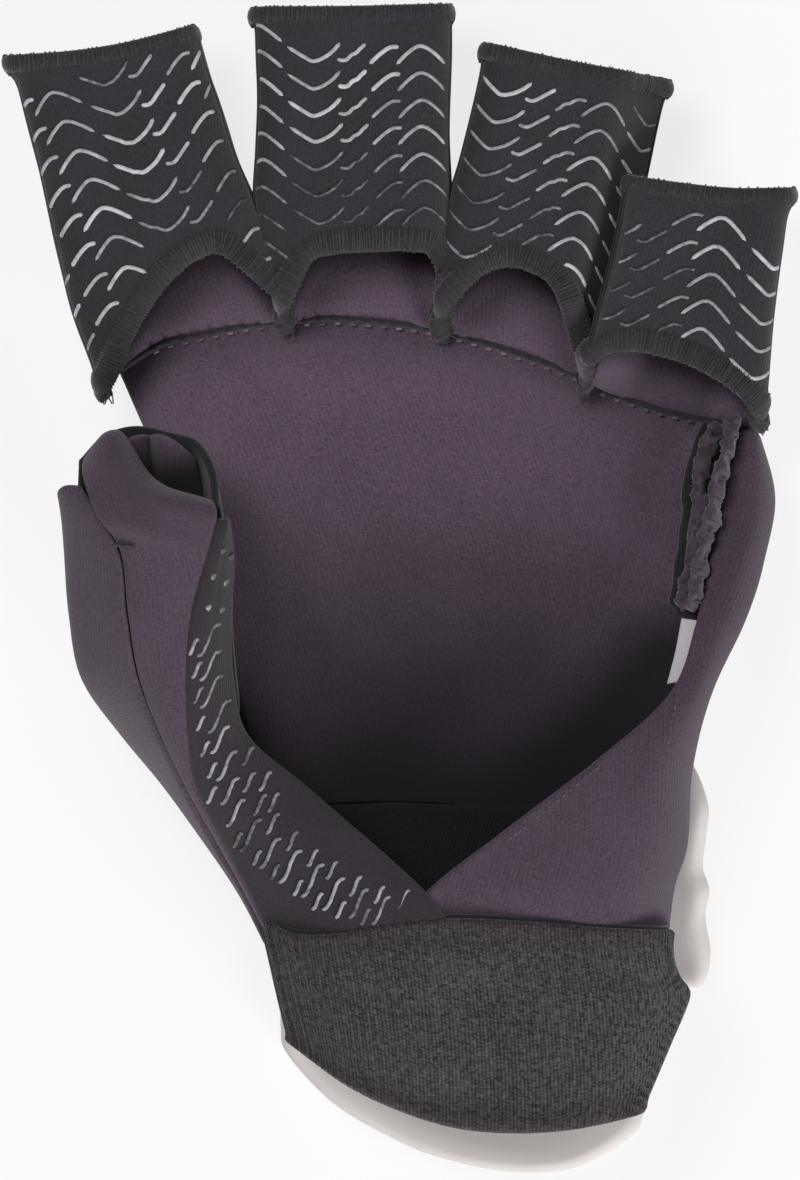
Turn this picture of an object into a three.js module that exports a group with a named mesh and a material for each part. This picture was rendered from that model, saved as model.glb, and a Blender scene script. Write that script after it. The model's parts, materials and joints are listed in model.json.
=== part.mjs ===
// A field hockey glove for the left hand, lying on its back with the open palm facing up.
// Millimetres: +X to the little finger, +Y to the fingertips, +Z out of the palm, Z 0 under the guard.
import * as THREE from "three";

// Clear space between pieces that are sewn or bonded together.
const SEAM_GAP = 0.3;

// Layers of the hand back, from the table up.
const GUARD_THICKNESS = 4;
const GUARD_GAP = 0.5;
const KNIT_THICKNESS = 1;
const FOAM_THICKNESS = 3.2;
const FOAM_LAP = 2.4;
const LINING_THICKNESS = 1.2;

// Hand back: its place, its length from the wrist to the middle knuckle, and its width at the wrist.
const KNUCKLE_Y = 41.9;
const KNUCKLE_SHIFT = 5.4;
const HAND_LENGTH = 104;
const LINING_LENGTH = 75;
const WRIST_WIDTH = 59;
const WRIST_SHIFT = 10.5;
const THUMB_WAIST = 6;
const LITTLE_WAIST = 5;
const LITTLE_WAIST_POWER = 1.6;
const LITTLE_FLARE = 6.2;
const FLARE_POWER = 3.5;
const LINING_INSET = 3;
const FLAT_SHARE = 0.45;
const LITTLE_RISE = 11;
const THUMB_RISE = 6;
const WRIST_CURL = 0.12;
const CURL_FULL = 0.52;

// Finger stalls. The skew is how much longer the thumb-side edge is than the little-side edge.
// A foot is the distance from the knuckle at which a side gusset starts.
const FINGERS = [
  {
    name: "index", fan: 16.4, setback: 3, length: 48, baseWidth: 29, tipWidth: 30.6,
    skew: 3.7, thumbFoot: -1.5, littleFoot: 2,
  },
  {
    name: "middle", fan: 2, setback: 0, length: 48.2, baseWidth: 24, tipWidth: 30.4,
    skew: 1.2, thumbFoot: 2, littleFoot: 2,
  },
  {
    name: "ring", fan: -11, setback: 4.2, length: 45, baseWidth: 22, tipWidth: 26,
    skew: 0, thumbFoot: 2, littleFoot: 2,
  },
  {
    name: "little", fan: -11, setback: 13.2, length: 34.4, baseWidth: 27.5, tipWidth: 25,
    skew: -3.7, thumbFoot: 2, littleFoot: 0,
  },
];
const FINGER_GAP = 1.5;
const KNUCKLE_GAP = 2.4;
const STALL_WALL = 1.2;
const STALL_HEIGHT = 14;
const STALL_SQUARENESS = 0.55;
const TAPER_LENGTH = 30;
const CORNER_ANGLE = 24;
const SEAM_ANGLE = 3;
const ARCH_TOP = 9;
const ARCH_FOOT = 5;

// Hems and seam cords.
const HEM_WIDTH = 2.6;
const HEM_THICKNESS = 2.4;
const CORD_WIDTH = 1.6;
const CORD_GAP = 0.7;

// Foam pads on the finger backs.
const PAD_INSET = 4;
const PAD_START = 2;
const PAD_GROOVE = 2.4;
const PAD_END = 4;
const PAD_SHARE = 0.46;
const PAD_CORNER = 4;
const PAD_BEVEL = 1.2;

// Thumb stall.
const THUMB_BACK = 59;
const THUMB_OUT = 11;
const THUMB_LIFT = 17.5;
const THUMB_LEAN = 6.5;
const THUMB_TILT = 12;
const THUMB_LENGTH = 35;
const THUMB_BASE_WIDTH = 24;
const THUMB_WIDTH = 27;
const THUMB_HEIGHT = 21;
const THUMB_SLANT = 6;
const THUMB_SKEW = 3;
const THUMB_SQUARENESS = 0.8;
const THUMB_SWING = 15;
const THUMB_PAD_THICKNESS = 3;
const THUMB_PAD_INSET = 6;
const THUMB_PAD_START = 0.12;
const OUTER_SEAM = 104;
const GRIP_SEAM = 60;
const PALM_SEAM = -45;
const BACK_SEAM = 235;
const THUMB_SEAM_ANGLE = 1.6;

// Thumb base: where its panels meet the top of the cuff, as angles around the cuff.
const BASE_WALL = 1.4;
const PALM_EDGE_ANGLE = 10;
const VEE_ANGLE = 95;
const STRIP_ANGLE = 144;
const WEDGE_ANGLE = 3;
const OUTER_END_ANGLE = 200;

// Wrist cuff.
const CUFF_WIDTH = 64;
const CUFF_HEIGHT = 20;
const CUFF_WALL = 1.8;
const CUFF_START = 94.5;
const CUFF_LENGTH = 29.5;
const CUFF_SKEW = 5.5;
const CUFF_BOW = 8;
const CUFF_DRIFT = 1.2;
const CUFF_NARROWING = 13.6;
const CUFF_SQUARENESS = 0.7;
const CUFF_SIDE_ANGLE = 6;
const BACK_RISE_START = 0.5;
const BACK_RISE_FULL = 0.85;

// Little-finger side panel and its strap across the wrist end of the palm.
const SIDE_WALL = 1.4;
const SIDE_BULGE = 1.5;
const SIDE_RIM = 1.5;
const SIDE_STATIONS = [0.92, 0.79, 0.64];
const STRAP_LEAVE = 0.56;
const STRAP_STATIONS = [[0.48, 0.2], [0.3, 0.6]];
const STRAP_FOOT_ANGLES = [0, 18, 56];
const STRAP_ARCH = 2;
const RIM_ROLL = 0.6;
const CROWN_SHARE = 0.5;

// Guard and wrist guard on the back of the hand and wrist.
const GUARD_FRONT = 3;
const GUARD_INSET = 0.1;
const GUARD_WING = 5;
const WING_END = 0.65;
const TAIL_LENGTH = 28.4;
const TAIL_WIDTH = 58;
const TAIL_BEVEL = 1.5;
// Outline of the wrist guard, as shares of its half width and of its length.
const TAIL_OUTLINE = [
  [-1, 0.25], [-0.8, 0.66], [-0.45, 0.85], [-0.1, 0.97], [0.3, 1], [0.75, 0.96], [0.95, 0.7],
];

// Care label and seam tape inside the little-finger side.
const LABEL_LENGTH = 11;
const LABEL_WIDTH = 5;
const LABEL_THICKNESS = 0.6;
const LABEL_GAP = 1;
const TAPE_WIDTH = 4;
const TAPE_THICKNESS = 1;
const TAPE_INSET = 1;
const TAPE_START = 0.9;
const TAPE_END = 0.6;

const radians = THREE.MathUtils.degToRad;
const lerp = THREE.MathUtils.lerp;
const vec = (x, y, z) => new THREE.Vector3(x, y, z);
const mix = (a, b, t) => a.clone().lerp(b, t);
const smooth = (t) => THREE.MathUtils.smoothstep(t, 0, 1);

const glove = new THREE.Group();
glove.name = "field_hockey_glove";

const CLOTH_ROUGHNESS = 0.92;
const FOAM_ROUGHNESS = 0.6;
const PALM_KNIT = 0x544854;
const DARK_FABRIC = 0x2f2b33;
const HEM_FABRIC = 0x3e3b45;
const CUFF_ELASTIC = 0x3c3a3c;
const GUARD_FOAM = 0xc1bcbd;
const LABEL_CLOTH = 0xc0bac0;

function add(parent, name, geometry, color, roughness = CLOTH_ROUGHNESS) {
  const material = new THREE.MeshStandardMaterial({ color, roughness, metalness: 0 });
  const mesh = new THREE.Mesh(geometry, material);
  mesh.name = name;
  parent.add(mesh);
  return mesh;
}

// Closed body from a list of points and quads, turned so that its faces look outward.
function closedBody(points, quads) {
  const triangles = quads.flatMap(([a, b, c, d]) => [[a, b, c], [a, c, d]]);
  const volume = triangles.reduce((sum, [a, b, c]) => {
    return sum + points[a].dot(points[b].clone().cross(points[c]));
  }, 0);
  const facing = volume < 0 ? triangles.map(([a, b, c]) => [a, c, b]) : triangles;
  const geometry = new THREE.BufferGeometry().setFromPoints(points);
  geometry.setIndex(facing.flat());
  geometry.computeVertexNormals();
  return geometry;
}

const STEP = 1e-3;
function normalAt(surface, u, v) {
  const across = surface(Math.min(u + STEP, 1), v).sub(surface(Math.max(u - STEP, 0), v));
  const along = surface(u, Math.min(v + STEP, 1)).sub(surface(u, Math.max(v - STEP, 0)));
  return across.cross(along).normalize();
}

// Sheet of cloth or foam between two offsets along the normal of a surface(u, v).
function sheet(surface, columns, rows, near, far, normal = (u, v) => normalAt(surface, u, v)) {
  const points = [];
  for (const offset of [near, far]) {
    for (let row = 0; row <= rows; row++) {
      for (let column = 0; column <= columns; column++) {
        const u = column / columns;
        const v = row / rows;
        points.push(surface(u, v).addScaledVector(normal(u, v), offset));
      }
    }
  }
  const layer = (columns + 1) * (rows + 1);
  const at = (column, row) => row * (columns + 1) + column;
  const quads = [];
  for (let row = 0; row < rows; row++) {
    for (let column = 0; column < columns; column++) {
      const [a, b] = [at(column, row), at(column + 1, row)];
      const [d, c] = [at(column, row + 1), at(column + 1, row + 1)];
      quads.push([a, b, c, d]);
      quads.push([a + layer, d + layer, c + layer, b + layer]);
    }
  }
  const count = (size) => Array.from({ length: size }, (_, i) => i);
  const rim = [
    ...count(columns).map((column) => at(column, 0)),
    ...count(rows).map((row) => at(columns, row)),
    ...count(columns).map((column) => at(columns - column, rows)),
    ...count(rows).map((row) => at(0, rows - row)),
  ];
  rim.forEach((index, i) => {
    const next = rim[(i + 1) % rim.length];
    quads.push([next, index, index + layer, next + layer]);
  });
  return closedBody(points, quads);
}

// Closed hoop: a section carried around place(t), which gives its centre, its outward and its end direction.
const HOOP_SIDES = 6;
function hoop(place, steps, width, thickness) {
  const points = [];
  const quads = [];
  for (let step = 0; step < steps; step++) {
    const { centre, out, end } = place(step / steps);
    for (let side = 0; side < HOOP_SIDES; side++) {
      const angle = (side + 0.5) * 2 * Math.PI / HOOP_SIDES;
      const point = centre.clone().addScaledVector(out, Math.cos(angle) * thickness / 2);
      points.push(point.addScaledVector(end, Math.sin(angle) * width / 2));
      const nextStep = (step + 1) % steps;
      const nextSide = (side + 1) % HOOP_SIDES;
      const row = step * HOOP_SIDES;
      const nextRow = nextStep * HOOP_SIDES;
      quads.push([row + side, nextRow + side, nextRow + nextSide, row + nextSide]);
    }
  }
  return closedBody(points, quads);
}

// Sewn cord along a curve.
const CORD_SIDES = 6;
function cord(points, steps, width) {
  const section = new THREE.Shape();
  for (let side = 0; side < CORD_SIDES; side++) {
    const angle = side * 2 * Math.PI / CORD_SIDES;
    const x = Math.cos(angle) * width / 2;
    const y = Math.sin(angle) * width / 2;
    if (side === 0) section.moveTo(x, y);
    else section.lineTo(x, y);
  }
  section.closePath();
  const extrudePath = new THREE.CatmullRomCurve3(points);
  return new THREE.ExtrudeGeometry(section, { steps, extrudePath, bevelEnabled: false });
}

// Point of a rounded tube section: squareness below 1 makes its corners fuller.
const power = (value, squareness) => Math.sign(value) * Math.abs(value) ** squareness;
function tubePoint(angle, halfWidth, halfHeight, squareness) {
  const x = halfWidth * power(Math.cos(angle), squareness);
  const z = halfHeight * power(Math.sin(angle), squareness);
  return { x, z };
}

// Heights worked out from the layers.
const knitTop = GUARD_THICKNESS + GUARD_GAP + KNIT_THICKNESS;
const foamTop = knitTop + SEAM_GAP + FOAM_THICKNESS;
const palmFloor = foamTop + SEAM_GAP + LINING_THICKNESS;
const hingeHeight = palmFloor - STALL_WALL / 2;

// Knuckle row: each finger stands beside its neighbour.
const rowWidth = (finger) => finger.baseWidth * Math.cos(radians(finger.fan));
const knuckleWidth = FINGERS.reduce((sum, finger) => sum + rowWidth(finger) + FINGER_GAP, -FINGER_GAP);
let rowX = KNUCKLE_SHIFT - knuckleWidth / 2;
for (const finger of FINGERS) {
  finger.knuckle = vec(rowX + rowWidth(finger) / 2, KNUCKLE_Y - finger.setback, hingeHeight);
  rowX += rowWidth(finger) + FINGER_GAP;
}

// Front edge of the hand back: a line behind each finger base, joined from finger to finger.
const frontPoints = FINGERS.flatMap((finger) => {
  const half = rowWidth(finger) / 2;
  const slope = Math.tan(radians(finger.fan));
  return [-half, half].map((x) => [finger.knuckle.x + x, finger.knuckle.y + x * slope - KNUCKLE_GAP / 2]);
});
function frontEdge(x) {
  const last = frontPoints.length - 1;
  if (x <= frontPoints[0][0]) return frontPoints[0][1];
  for (let i = 0; i < last; i++) {
    const [startX, startY] = frontPoints[i];
    const [endX, endY] = frontPoints[i + 1];
    if (x <= endX) return lerp(startY, endY, (x - startX) / (endX - startX));
  }
  return frontPoints[last][1];
}

// Inner face of the hand back: u from the thumb side (-1) to the little side (1), v from wrist to knuckles.
const frontLeft = frontPoints[0][0] + LINING_INSET;
const frontRight = frontPoints[frontPoints.length - 1][0] - LINING_INSET;
const wristY = KNUCKLE_Y - HAND_LENGTH;
function handFace(u, v) {
  const share = (u + 1) / 2;
  const frontX = lerp(frontLeft, frontRight, share);
  const wristX = WRIST_SHIFT + u * WRIST_WIDTH / 2;
  const littleWaist = LITTLE_WAIST * Math.sin(Math.PI * v ** LITTLE_WAIST_POWER);
  const waist = u < 0 ? THUMB_WAIST * Math.sin(Math.PI * v) : littleWaist;
  const flare = u < 0 ? 0 : LITTLE_FLARE * Math.sin(Math.PI * v ** FLARE_POWER);
  const x = lerp(wristX, frontX, v) + u * (flare - waist);
  const y = lerp(wristY, frontEdge(frontX), v);
  const side = Math.max(0, (Math.abs(u) - FLAT_SHARE) / (1 - FLAT_SHARE));
  const curl = side < 1 ? side * side : 2 * side - 1;
  const rise = u > 0 ? LITTLE_RISE : THUMB_RISE;
  const fade = 1 - smooth((v - CURL_FULL) / (1 - CURL_FULL));
  const swell = lerp(WRIST_CURL, 1, smooth(v / CURL_FULL)) * fade;
  return vec(x, y, palmFloor + rise * curl * swell);
}
function handNormal(u, v) {
  const across = handFace(u + STEP, v).sub(handFace(u - STEP, v));
  return vec(-across.z, 0, across.x).normalize();
}
const vAt = (y, u) => (y - wristY) / (frontEdge(lerp(frontLeft, frontRight, (u + 1) / 2)) - wristY);

// Layer of the hand back between two depths; place(u, v) gives its part of the hand face.
const HAND_COLUMNS = 16;
const HAND_ROWS = 12;
function handLayer(place, columns, rows, near, far) {
  const face = (u, v) => handFace(...place(u, v));
  const normal = (u, v) => handNormal(...place(u, v));
  return sheet(face, columns, rows, near, far, normal);
}
const liningStart = KNUCKLE_Y - LINING_LENGTH;
const foamDepth = -LINING_THICKNESS - SEAM_GAP;
const knitDepth = foamDepth - FOAM_THICKNESS - SEAM_GAP;
const guardDepth = knitDepth - KNIT_THICKNESS - GUARD_GAP;
const liningPlace = (u, v) => {
  const across = lerp(-1, 1, u);
  return [across, lerp(vAt(liningStart, across), 1, v)];
};
const lining = handLayer(liningPlace, HAND_COLUMNS, HAND_ROWS, 0, -LINING_THICKNESS);
add(glove, "back_lining", lining, PALM_KNIT);
const backPlace = (u, v) => [lerp(-1, 1, u), v];
const foamPlace = (u, v) => [lerp(-1, 1, u), lerp(0, 1 + FOAM_LAP / HAND_LENGTH, v)];
const foam = handLayer(foamPlace, HAND_COLUMNS, HAND_ROWS, foamDepth, foamDepth - FOAM_THICKNESS);
add(glove, "back_foam", foam, DARK_FABRIC);
const knit = handLayer(backPlace, HAND_COLUMNS, HAND_ROWS, knitDepth, knitDepth - KNIT_THICKNESS);
add(glove, "back_knit", knit, PALM_KNIT);

// Guard: stops short of the knuckles and stands out past the little-finger edge near the wrist.
const guardEnd = 1 - GUARD_FRONT / HAND_LENGTH;
function guardPlace(u, v) {
  const wing = GUARD_INSET + GUARD_WING / (WRIST_WIDTH / 2);
  const reach = 1 - GUARD_INSET + wing * (1 - smooth(v / WING_END));
  return [lerp(GUARD_INSET - 1, reach, u), lerp(0, guardEnd, v)];
}
const guard = handLayer(guardPlace, HAND_COLUMNS, HAND_ROWS, guardDepth, guardDepth - GUARD_THICKNESS);
add(glove, "back_guard", guard, GUARD_FOAM, FOAM_ROUGHNESS);

// Finger stalls.
const stallMid = STALL_HEIGHT / 2 - STALL_WALL / 2;
function halfWidthAt(finger, y) {
  return lerp(finger.baseWidth, finger.tipWidth, smooth(y / TAPER_LENGTH)) / 2;
}
function stallFace(finger, startAngle, endAngle, startAt) {
  return (u, v) => {
    const angle = radians(lerp(startAngle, endAngle, u));
    const tip = tubePoint(angle, finger.tipWidth / 2, STALL_HEIGHT / 2, STALL_SQUARENESS);
    const endY = finger.length - HEM_WIDTH - SEAM_GAP - finger.skew * tip.x / finger.tipWidth;
    const y = lerp(startAt(u), endY, v);
    const { x, z } = tubePoint(angle, halfWidthAt(finger, y), STALL_HEIGHT / 2, STALL_SQUARENESS);
    return vec(x, y, stallMid + z);
  };
}
const archAt = (u) => lerp(ARCH_FOOT, ARCH_TOP, Math.sin(Math.PI * u));

function roundedPad(width, startY, endY) {
  const half = width / 2 - PAD_BEVEL;
  const start = startY + PAD_BEVEL;
  const end = endY - PAD_BEVEL;
  const corner = Math.min(PAD_CORNER, half, (end - start) / 2);
  const shape = new THREE.Shape();
  shape.moveTo(-half + corner, start);
  shape.lineTo(half - corner, start);
  shape.quadraticCurveTo(half, start, half, start + corner);
  shape.lineTo(half, end - corner);
  shape.quadraticCurveTo(half, end, half - corner, end);
  shape.lineTo(-half + corner, end);
  shape.quadraticCurveTo(-half, end, -half, end - corner);
  shape.lineTo(-half, start + corner);
  shape.quadraticCurveTo(-half, start, -half + corner, start);
  return shape;
}
function padBody(shape, height, bevel) {
  return new THREE.ExtrudeGeometry(shape, {
    depth: height - 2 * bevel,
    bevelThickness: bevel,
    bevelSize: bevel,
    bevelSegments: 1,
    curveSegments: 2,
  }).translate(0, 0, bevel);
}

const GRIP_COLUMNS = 8;
const GRIP_ROWS = 6;
const SIDE_COLUMNS = 4;
const TIP_STEPS = 24;
const HEM_STEPS = 12;
for (const finger of FINGERS) {
  const stall = new THREE.Group();
  stall.position.copy(finger.knuckle);
  stall.rotation.z = radians(finger.fan);
  glove.add(stall);
  const name = (piece) => `${finger.name}_${piece}`;
  const upper = CORNER_ANGLE + SEAM_ANGLE;
  const lower = CORNER_ANGLE - SEAM_ANGLE;
  const gripFace = stallFace(finger, upper, 180 - upper, archAt);
  add(stall, name("grip_panel"), sheet(gripFace, GRIP_COLUMNS, GRIP_ROWS, 0, STALL_WALL), DARK_FABRIC);
  const backFace = stallFace(finger, 180 + upper, 360 - upper, () => KNUCKLE_GAP / 2);
  add(stall, name("back_panel"), sheet(backFace, GRIP_COLUMNS, GRIP_ROWS, 0, STALL_WALL), PALM_KNIT);
  const littleStart = (u) => lerp(finger.littleFoot, ARCH_FOOT, u);
  const littleFace = stallFace(finger, -lower, lower, littleStart);
  const littleSide = sheet(littleFace, SIDE_COLUMNS, GRIP_ROWS, 0, STALL_WALL);
  add(stall, name("little_side_gusset"), littleSide, DARK_FABRIC);
  const thumbStart = (u) => lerp(ARCH_FOOT, finger.thumbFoot, u);
  const thumbSideFace = stallFace(finger, 180 - lower, 180 + lower, thumbStart);
  const thumbSide = sheet(thumbSideFace, SIDE_COLUMNS, GRIP_ROWS, 0, STALL_WALL);
  add(stall, name("thumb_side_gusset"), thumbSide, DARK_FABRIC);

  const tipPlace = (t) => {
    const angle = 2 * Math.PI * t;
    const halfWidth = finger.tipWidth / 2 - STALL_WALL / 2;
    const { x, z } = tubePoint(angle, halfWidth, stallMid, STALL_SQUARENESS);
    const y = finger.length - HEM_WIDTH / 2 - finger.skew * x / finger.tipWidth;
    const out = vec(x / finger.tipWidth, 0, z / STALL_HEIGHT).normalize();
    return { centre: vec(x, y, stallMid + z), out, end: vec(0, 1, 0) };
  };
  add(stall, name("tip_hem"), hoop(tipPlace, TIP_STEPS, HEM_WIDTH, HEM_THICKNESS), HEM_FABRIC);

  const hemPoints = [];
  for (let i = 0; i <= GRIP_COLUMNS; i++) {
    const u = i / GRIP_COLUMNS;
    const edge = gripFace(u, 0).addScaledVector(normalAt(gripFace, u, 0), STALL_WALL / 2);
    hemPoints.push(edge.setY(edge.y - CORD_WIDTH / 2 - CORD_GAP));
  }
  add(stall, name("palm_hem"), cord(hemPoints, HEM_STEPS, CORD_WIDTH), HEM_FABRIC);

  const padStart = KNUCKLE_GAP / 2 + PAD_START;
  const padEnd = finger.length - PAD_END;
  const padSplit = lerp(padStart, padEnd, PAD_SHARE);
  const padHeight = hingeHeight - STALL_WALL / 2 - SEAM_GAP;
  const padWidth = (y) => 2 * halfWidthAt(finger, y) - PAD_INSET;
  const spans = {
    near_pad: [padStart, padSplit - PAD_GROOVE / 2],
    far_pad: [padSplit + PAD_GROOVE / 2, padEnd],
  };
  for (const [piece, [startY, endY]] of Object.entries(spans)) {
    const pad = padBody(roundedPad(padWidth(startY), startY, endY), padHeight, PAD_BEVEL);
    add(stall, name(piece), pad.translate(0, 0, -hingeHeight), GUARD_FOAM, FOAM_ROUGHNESS);
  }
}

// Knuckle seam: the stitched cord where the lining meets the finger backs.
const KNUCKLE_STEPS = 24;
const SEAM_SHARE = 0.97;
const seamPoints = [];
for (let i = 0; i <= KNUCKLE_STEPS; i++) {
  const u = lerp(-SEAM_SHARE, SEAM_SHARE, i / KNUCKLE_STEPS);
  const edge = handFace(u, 1 - CORD_WIDTH / HAND_LENGTH);
  seamPoints.push(edge.setZ(edge.z + CORD_WIDTH / 2 + SEAM_GAP));
}
add(glove, "knuckle_seam", cord(seamPoints, KNUCKLE_STEPS, CORD_WIDTH), HEM_FABRIC);

// Cuff: an elastic tube around the wrist, its back longer than its front.
const cuffMid = foamTop + SEAM_GAP + CUFF_HEIGHT / 2;
const cuffTopY = KNUCKLE_Y - CUFF_START;
function cuffPoint(angle, y, inward) {
  const down = (cuffTopY - y) / CUFF_LENGTH;
  const half = (CUFF_WIDTH - CUFF_NARROWING * Math.max(down, 0)) / 2 - inward;
  const { x, z } = tubePoint(angle, half, CUFF_HEIGHT / 2 - inward, CUFF_SQUARENESS);
  return vec(WRIST_SHIFT + CUFF_DRIFT * Math.max(down, 0) + x, y, cuffMid + z);
}
function cuffEnd(angle) {
  const side = Math.cos(angle);
  return cuffTopY - CUFF_LENGTH + CUFF_BOW * side * side - CUFF_SKEW * side;
}
const cuffFace = (startAngle, endAngle, startAt) => (u, v) => {
  const angle = radians(lerp(startAngle, endAngle, u));
  return cuffPoint(angle, lerp(startAt(angle), cuffEnd(angle), v), 0);
};
const frontFace = cuffFace(180 - CUFF_SIDE_ANGLE, CUFF_SIDE_ANGLE, () => cuffTopY);
const CUFF_COLUMNS = 14;
const CUFF_ROWS = 7;
add(glove, "cuff_front", sheet(frontFace, CUFF_COLUMNS, CUFF_ROWS, 0, CUFF_WALL), CUFF_ELASTIC);
const cuffBackStart = (angle) => {
  const across = (Math.abs(Math.sin(angle)) - BACK_RISE_START) / (BACK_RISE_FULL - BACK_RISE_START);
  return lerp(cuffTopY, liningStart - SEAM_GAP, smooth(across));
};
const backFace = cuffFace(-CUFF_SIDE_ANGLE, CUFF_SIDE_ANGLE - 180, cuffBackStart);
add(glove, "cuff_back", sheet(backFace, CUFF_COLUMNS, CUFF_ROWS, 0, CUFF_WALL), CUFF_ELASTIC);
const CUFF_HEM_STEPS = 32;
const cuffHemPlace = (t) => {
  const angle = -2 * Math.PI * t;
  const y = cuffEnd(angle) - CORD_GAP - HEM_WIDTH / 2;
  const centre = cuffPoint(angle, y, CUFF_WALL / 2);
  const out = vec(Math.cos(angle) / CUFF_WIDTH, 0, Math.sin(angle) / CUFF_HEIGHT).normalize();
  return { centre, out, end: vec(0, 1, 0) };
};
add(glove, "cuff_hem", hoop(cuffHemPlace, CUFF_HEM_STEPS, HEM_WIDTH, CUFF_WALL), CUFF_ELASTIC);

// Cord of the seam between the cuff and the palm pieces above it.
const cuffCordY = cuffTopY + SEAM_GAP + CORD_WIDTH / 2;
const palmEndY = cuffCordY + CORD_WIDTH / 2 + SEAM_GAP;
const CUFF_CORD_STEPS = 14;
const cuffCordPoints = [];
for (let i = 0; i <= CUFF_CORD_STEPS; i++) {
  const angle = radians(lerp(180 - CUFF_SIDE_ANGLE, CUFF_SIDE_ANGLE, i / CUFF_CORD_STEPS));
  cuffCordPoints.push(cuffPoint(angle, cuffCordY, CUFF_WALL / 2));
}
add(glove, "cuff_seam", cord(cuffCordPoints, CUFF_CORD_STEPS, CORD_WIDTH), HEM_FABRIC);

// Thumb stall: a tube that leans out of the palm, with a slanted mouth.
const thumbEdge = handFace(-1, vAt(KNUCKLE_Y - THUMB_BACK, -1));
const thumb = new THREE.Group();
thumb.position.set(thumbEdge.x - THUMB_OUT, thumbEdge.y, palmFloor + THUMB_LIFT);
thumb.rotation.set(radians(THUMB_TILT), 0, radians(THUMB_LEAN), "ZYX");
glove.add(thumb);
thumb.updateMatrixWorld(true);
function thumbPoint(angle, y, inward) {
  const width = lerp(THUMB_BASE_WIDTH, THUMB_WIDTH, y / THUMB_LENGTH);
  const { x, z } = tubePoint(angle, width / 2 - inward, THUMB_HEIGHT / 2 - inward, THUMB_SQUARENESS);
  return vec(x, y, z);
}
const mouthEnd = (angle) => THUMB_LENGTH - THUMB_SLANT * Math.sin(angle) - THUMB_SKEW * Math.cos(angle);
function thumbFace(startAngle, endAngle) {
  return (u, v) => {
    const angle = radians(lerp(startAngle, endAngle, u));
    const startY = SEAM_GAP + Math.abs(thumbPoint(angle, 0, 0).x) * Math.tan(radians(THUMB_SWING));
    return thumbPoint(angle, lerp(startY, mouthEnd(angle) - HEM_WIDTH - SEAM_GAP, v), 0);
  };
}
const THUMB_ROWS = 5;
const THUMB_COLUMN_ANGLE = 13;
const MOUTH_STEPS = 26;
const thumbSpans = {
  thumb_grip_panel: [PALM_SEAM, GRIP_SEAM, DARK_FABRIC],
  thumb_front_panel: [GRIP_SEAM, OUTER_SEAM, PALM_KNIT],
  thumb_outer_panel: [OUTER_SEAM, BACK_SEAM, PALM_KNIT],
  thumb_back_panel: [BACK_SEAM, 360 + PALM_SEAM, PALM_KNIT],
};
for (const [piece, [start, end, color]] of Object.entries(thumbSpans)) {
  const face = thumbFace(start + THUMB_SEAM_ANGLE, end - THUMB_SEAM_ANGLE);
  const columns = Math.ceil((end - start) / THUMB_COLUMN_ANGLE);
  add(thumb, piece, sheet(face, columns, THUMB_ROWS, 0, STALL_WALL), color);
}
const mouthPlace = (t) => {
  const angle = 2 * Math.PI * t;
  const centre = thumbPoint(angle, mouthEnd(angle) - HEM_WIDTH / 2, STALL_WALL / 2);
  const out = vec(Math.cos(angle) / THUMB_WIDTH, 0, Math.sin(angle) / THUMB_HEIGHT).normalize();
  return { centre, out, end: vec(0, 1, 0) };
};
add(thumb, "thumb_mouth_hem", hoop(mouthPlace, MOUTH_STEPS, HEM_WIDTH, HEM_THICKNESS), HEM_FABRIC);

// Thumb base: panels stretched from the foot of the thumb stall to the top of the cuff.
function basePanel(thumbStart, thumbEnd, cuffStart, cuffEndAngle) {
  return (u, v) => {
    const foot = thumbPoint(radians(lerp(thumbStart, thumbEnd, u)), -SEAM_GAP, 0);
    foot.applyMatrix4(thumb.matrixWorld);
    const wrist = cuffPoint(radians(lerp(cuffStart, cuffEndAngle, u)), palmEndY, 0);
    return mix(foot, wrist, v);
  };
}
const BASE_ROWS = 6;
const BASE_COLUMNS = 6;
const stripFace = basePanel(PALM_EDGE_ANGLE, GRIP_SEAM - THUMB_SEAM_ANGLE, VEE_ANGLE, STRIP_ANGLE);
add(glove, "thumb_base_grip_strip", sheet(stripFace, BASE_COLUMNS, BASE_ROWS, 0, -BASE_WALL), DARK_FABRIC);
const wedgeStart = STRIP_ANGLE + 2 * THUMB_SEAM_ANGLE;
const wedgeEnd = wedgeStart + WEDGE_ANGLE;
const wedgeFoot = [GRIP_SEAM + THUMB_SEAM_ANGLE, OUTER_SEAM - THUMB_SEAM_ANGLE];
const wedgeFace = basePanel(...wedgeFoot, wedgeStart, wedgeEnd);
add(glove, "thumb_base_front_panel", sheet(wedgeFace, BASE_COLUMNS, BASE_ROWS, 0, -BASE_WALL), PALM_KNIT);
const outerStart = wedgeEnd + 2 * THUMB_SEAM_ANGLE;
const outerFace = basePanel(OUTER_SEAM + THUMB_SEAM_ANGLE, BACK_SEAM, outerStart, OUTER_END_ANGLE);
add(glove, "thumb_base_outer_panel", sheet(outerFace, BASE_COLUMNS, BASE_ROWS, 0, -BASE_WALL), PALM_KNIT);

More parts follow.
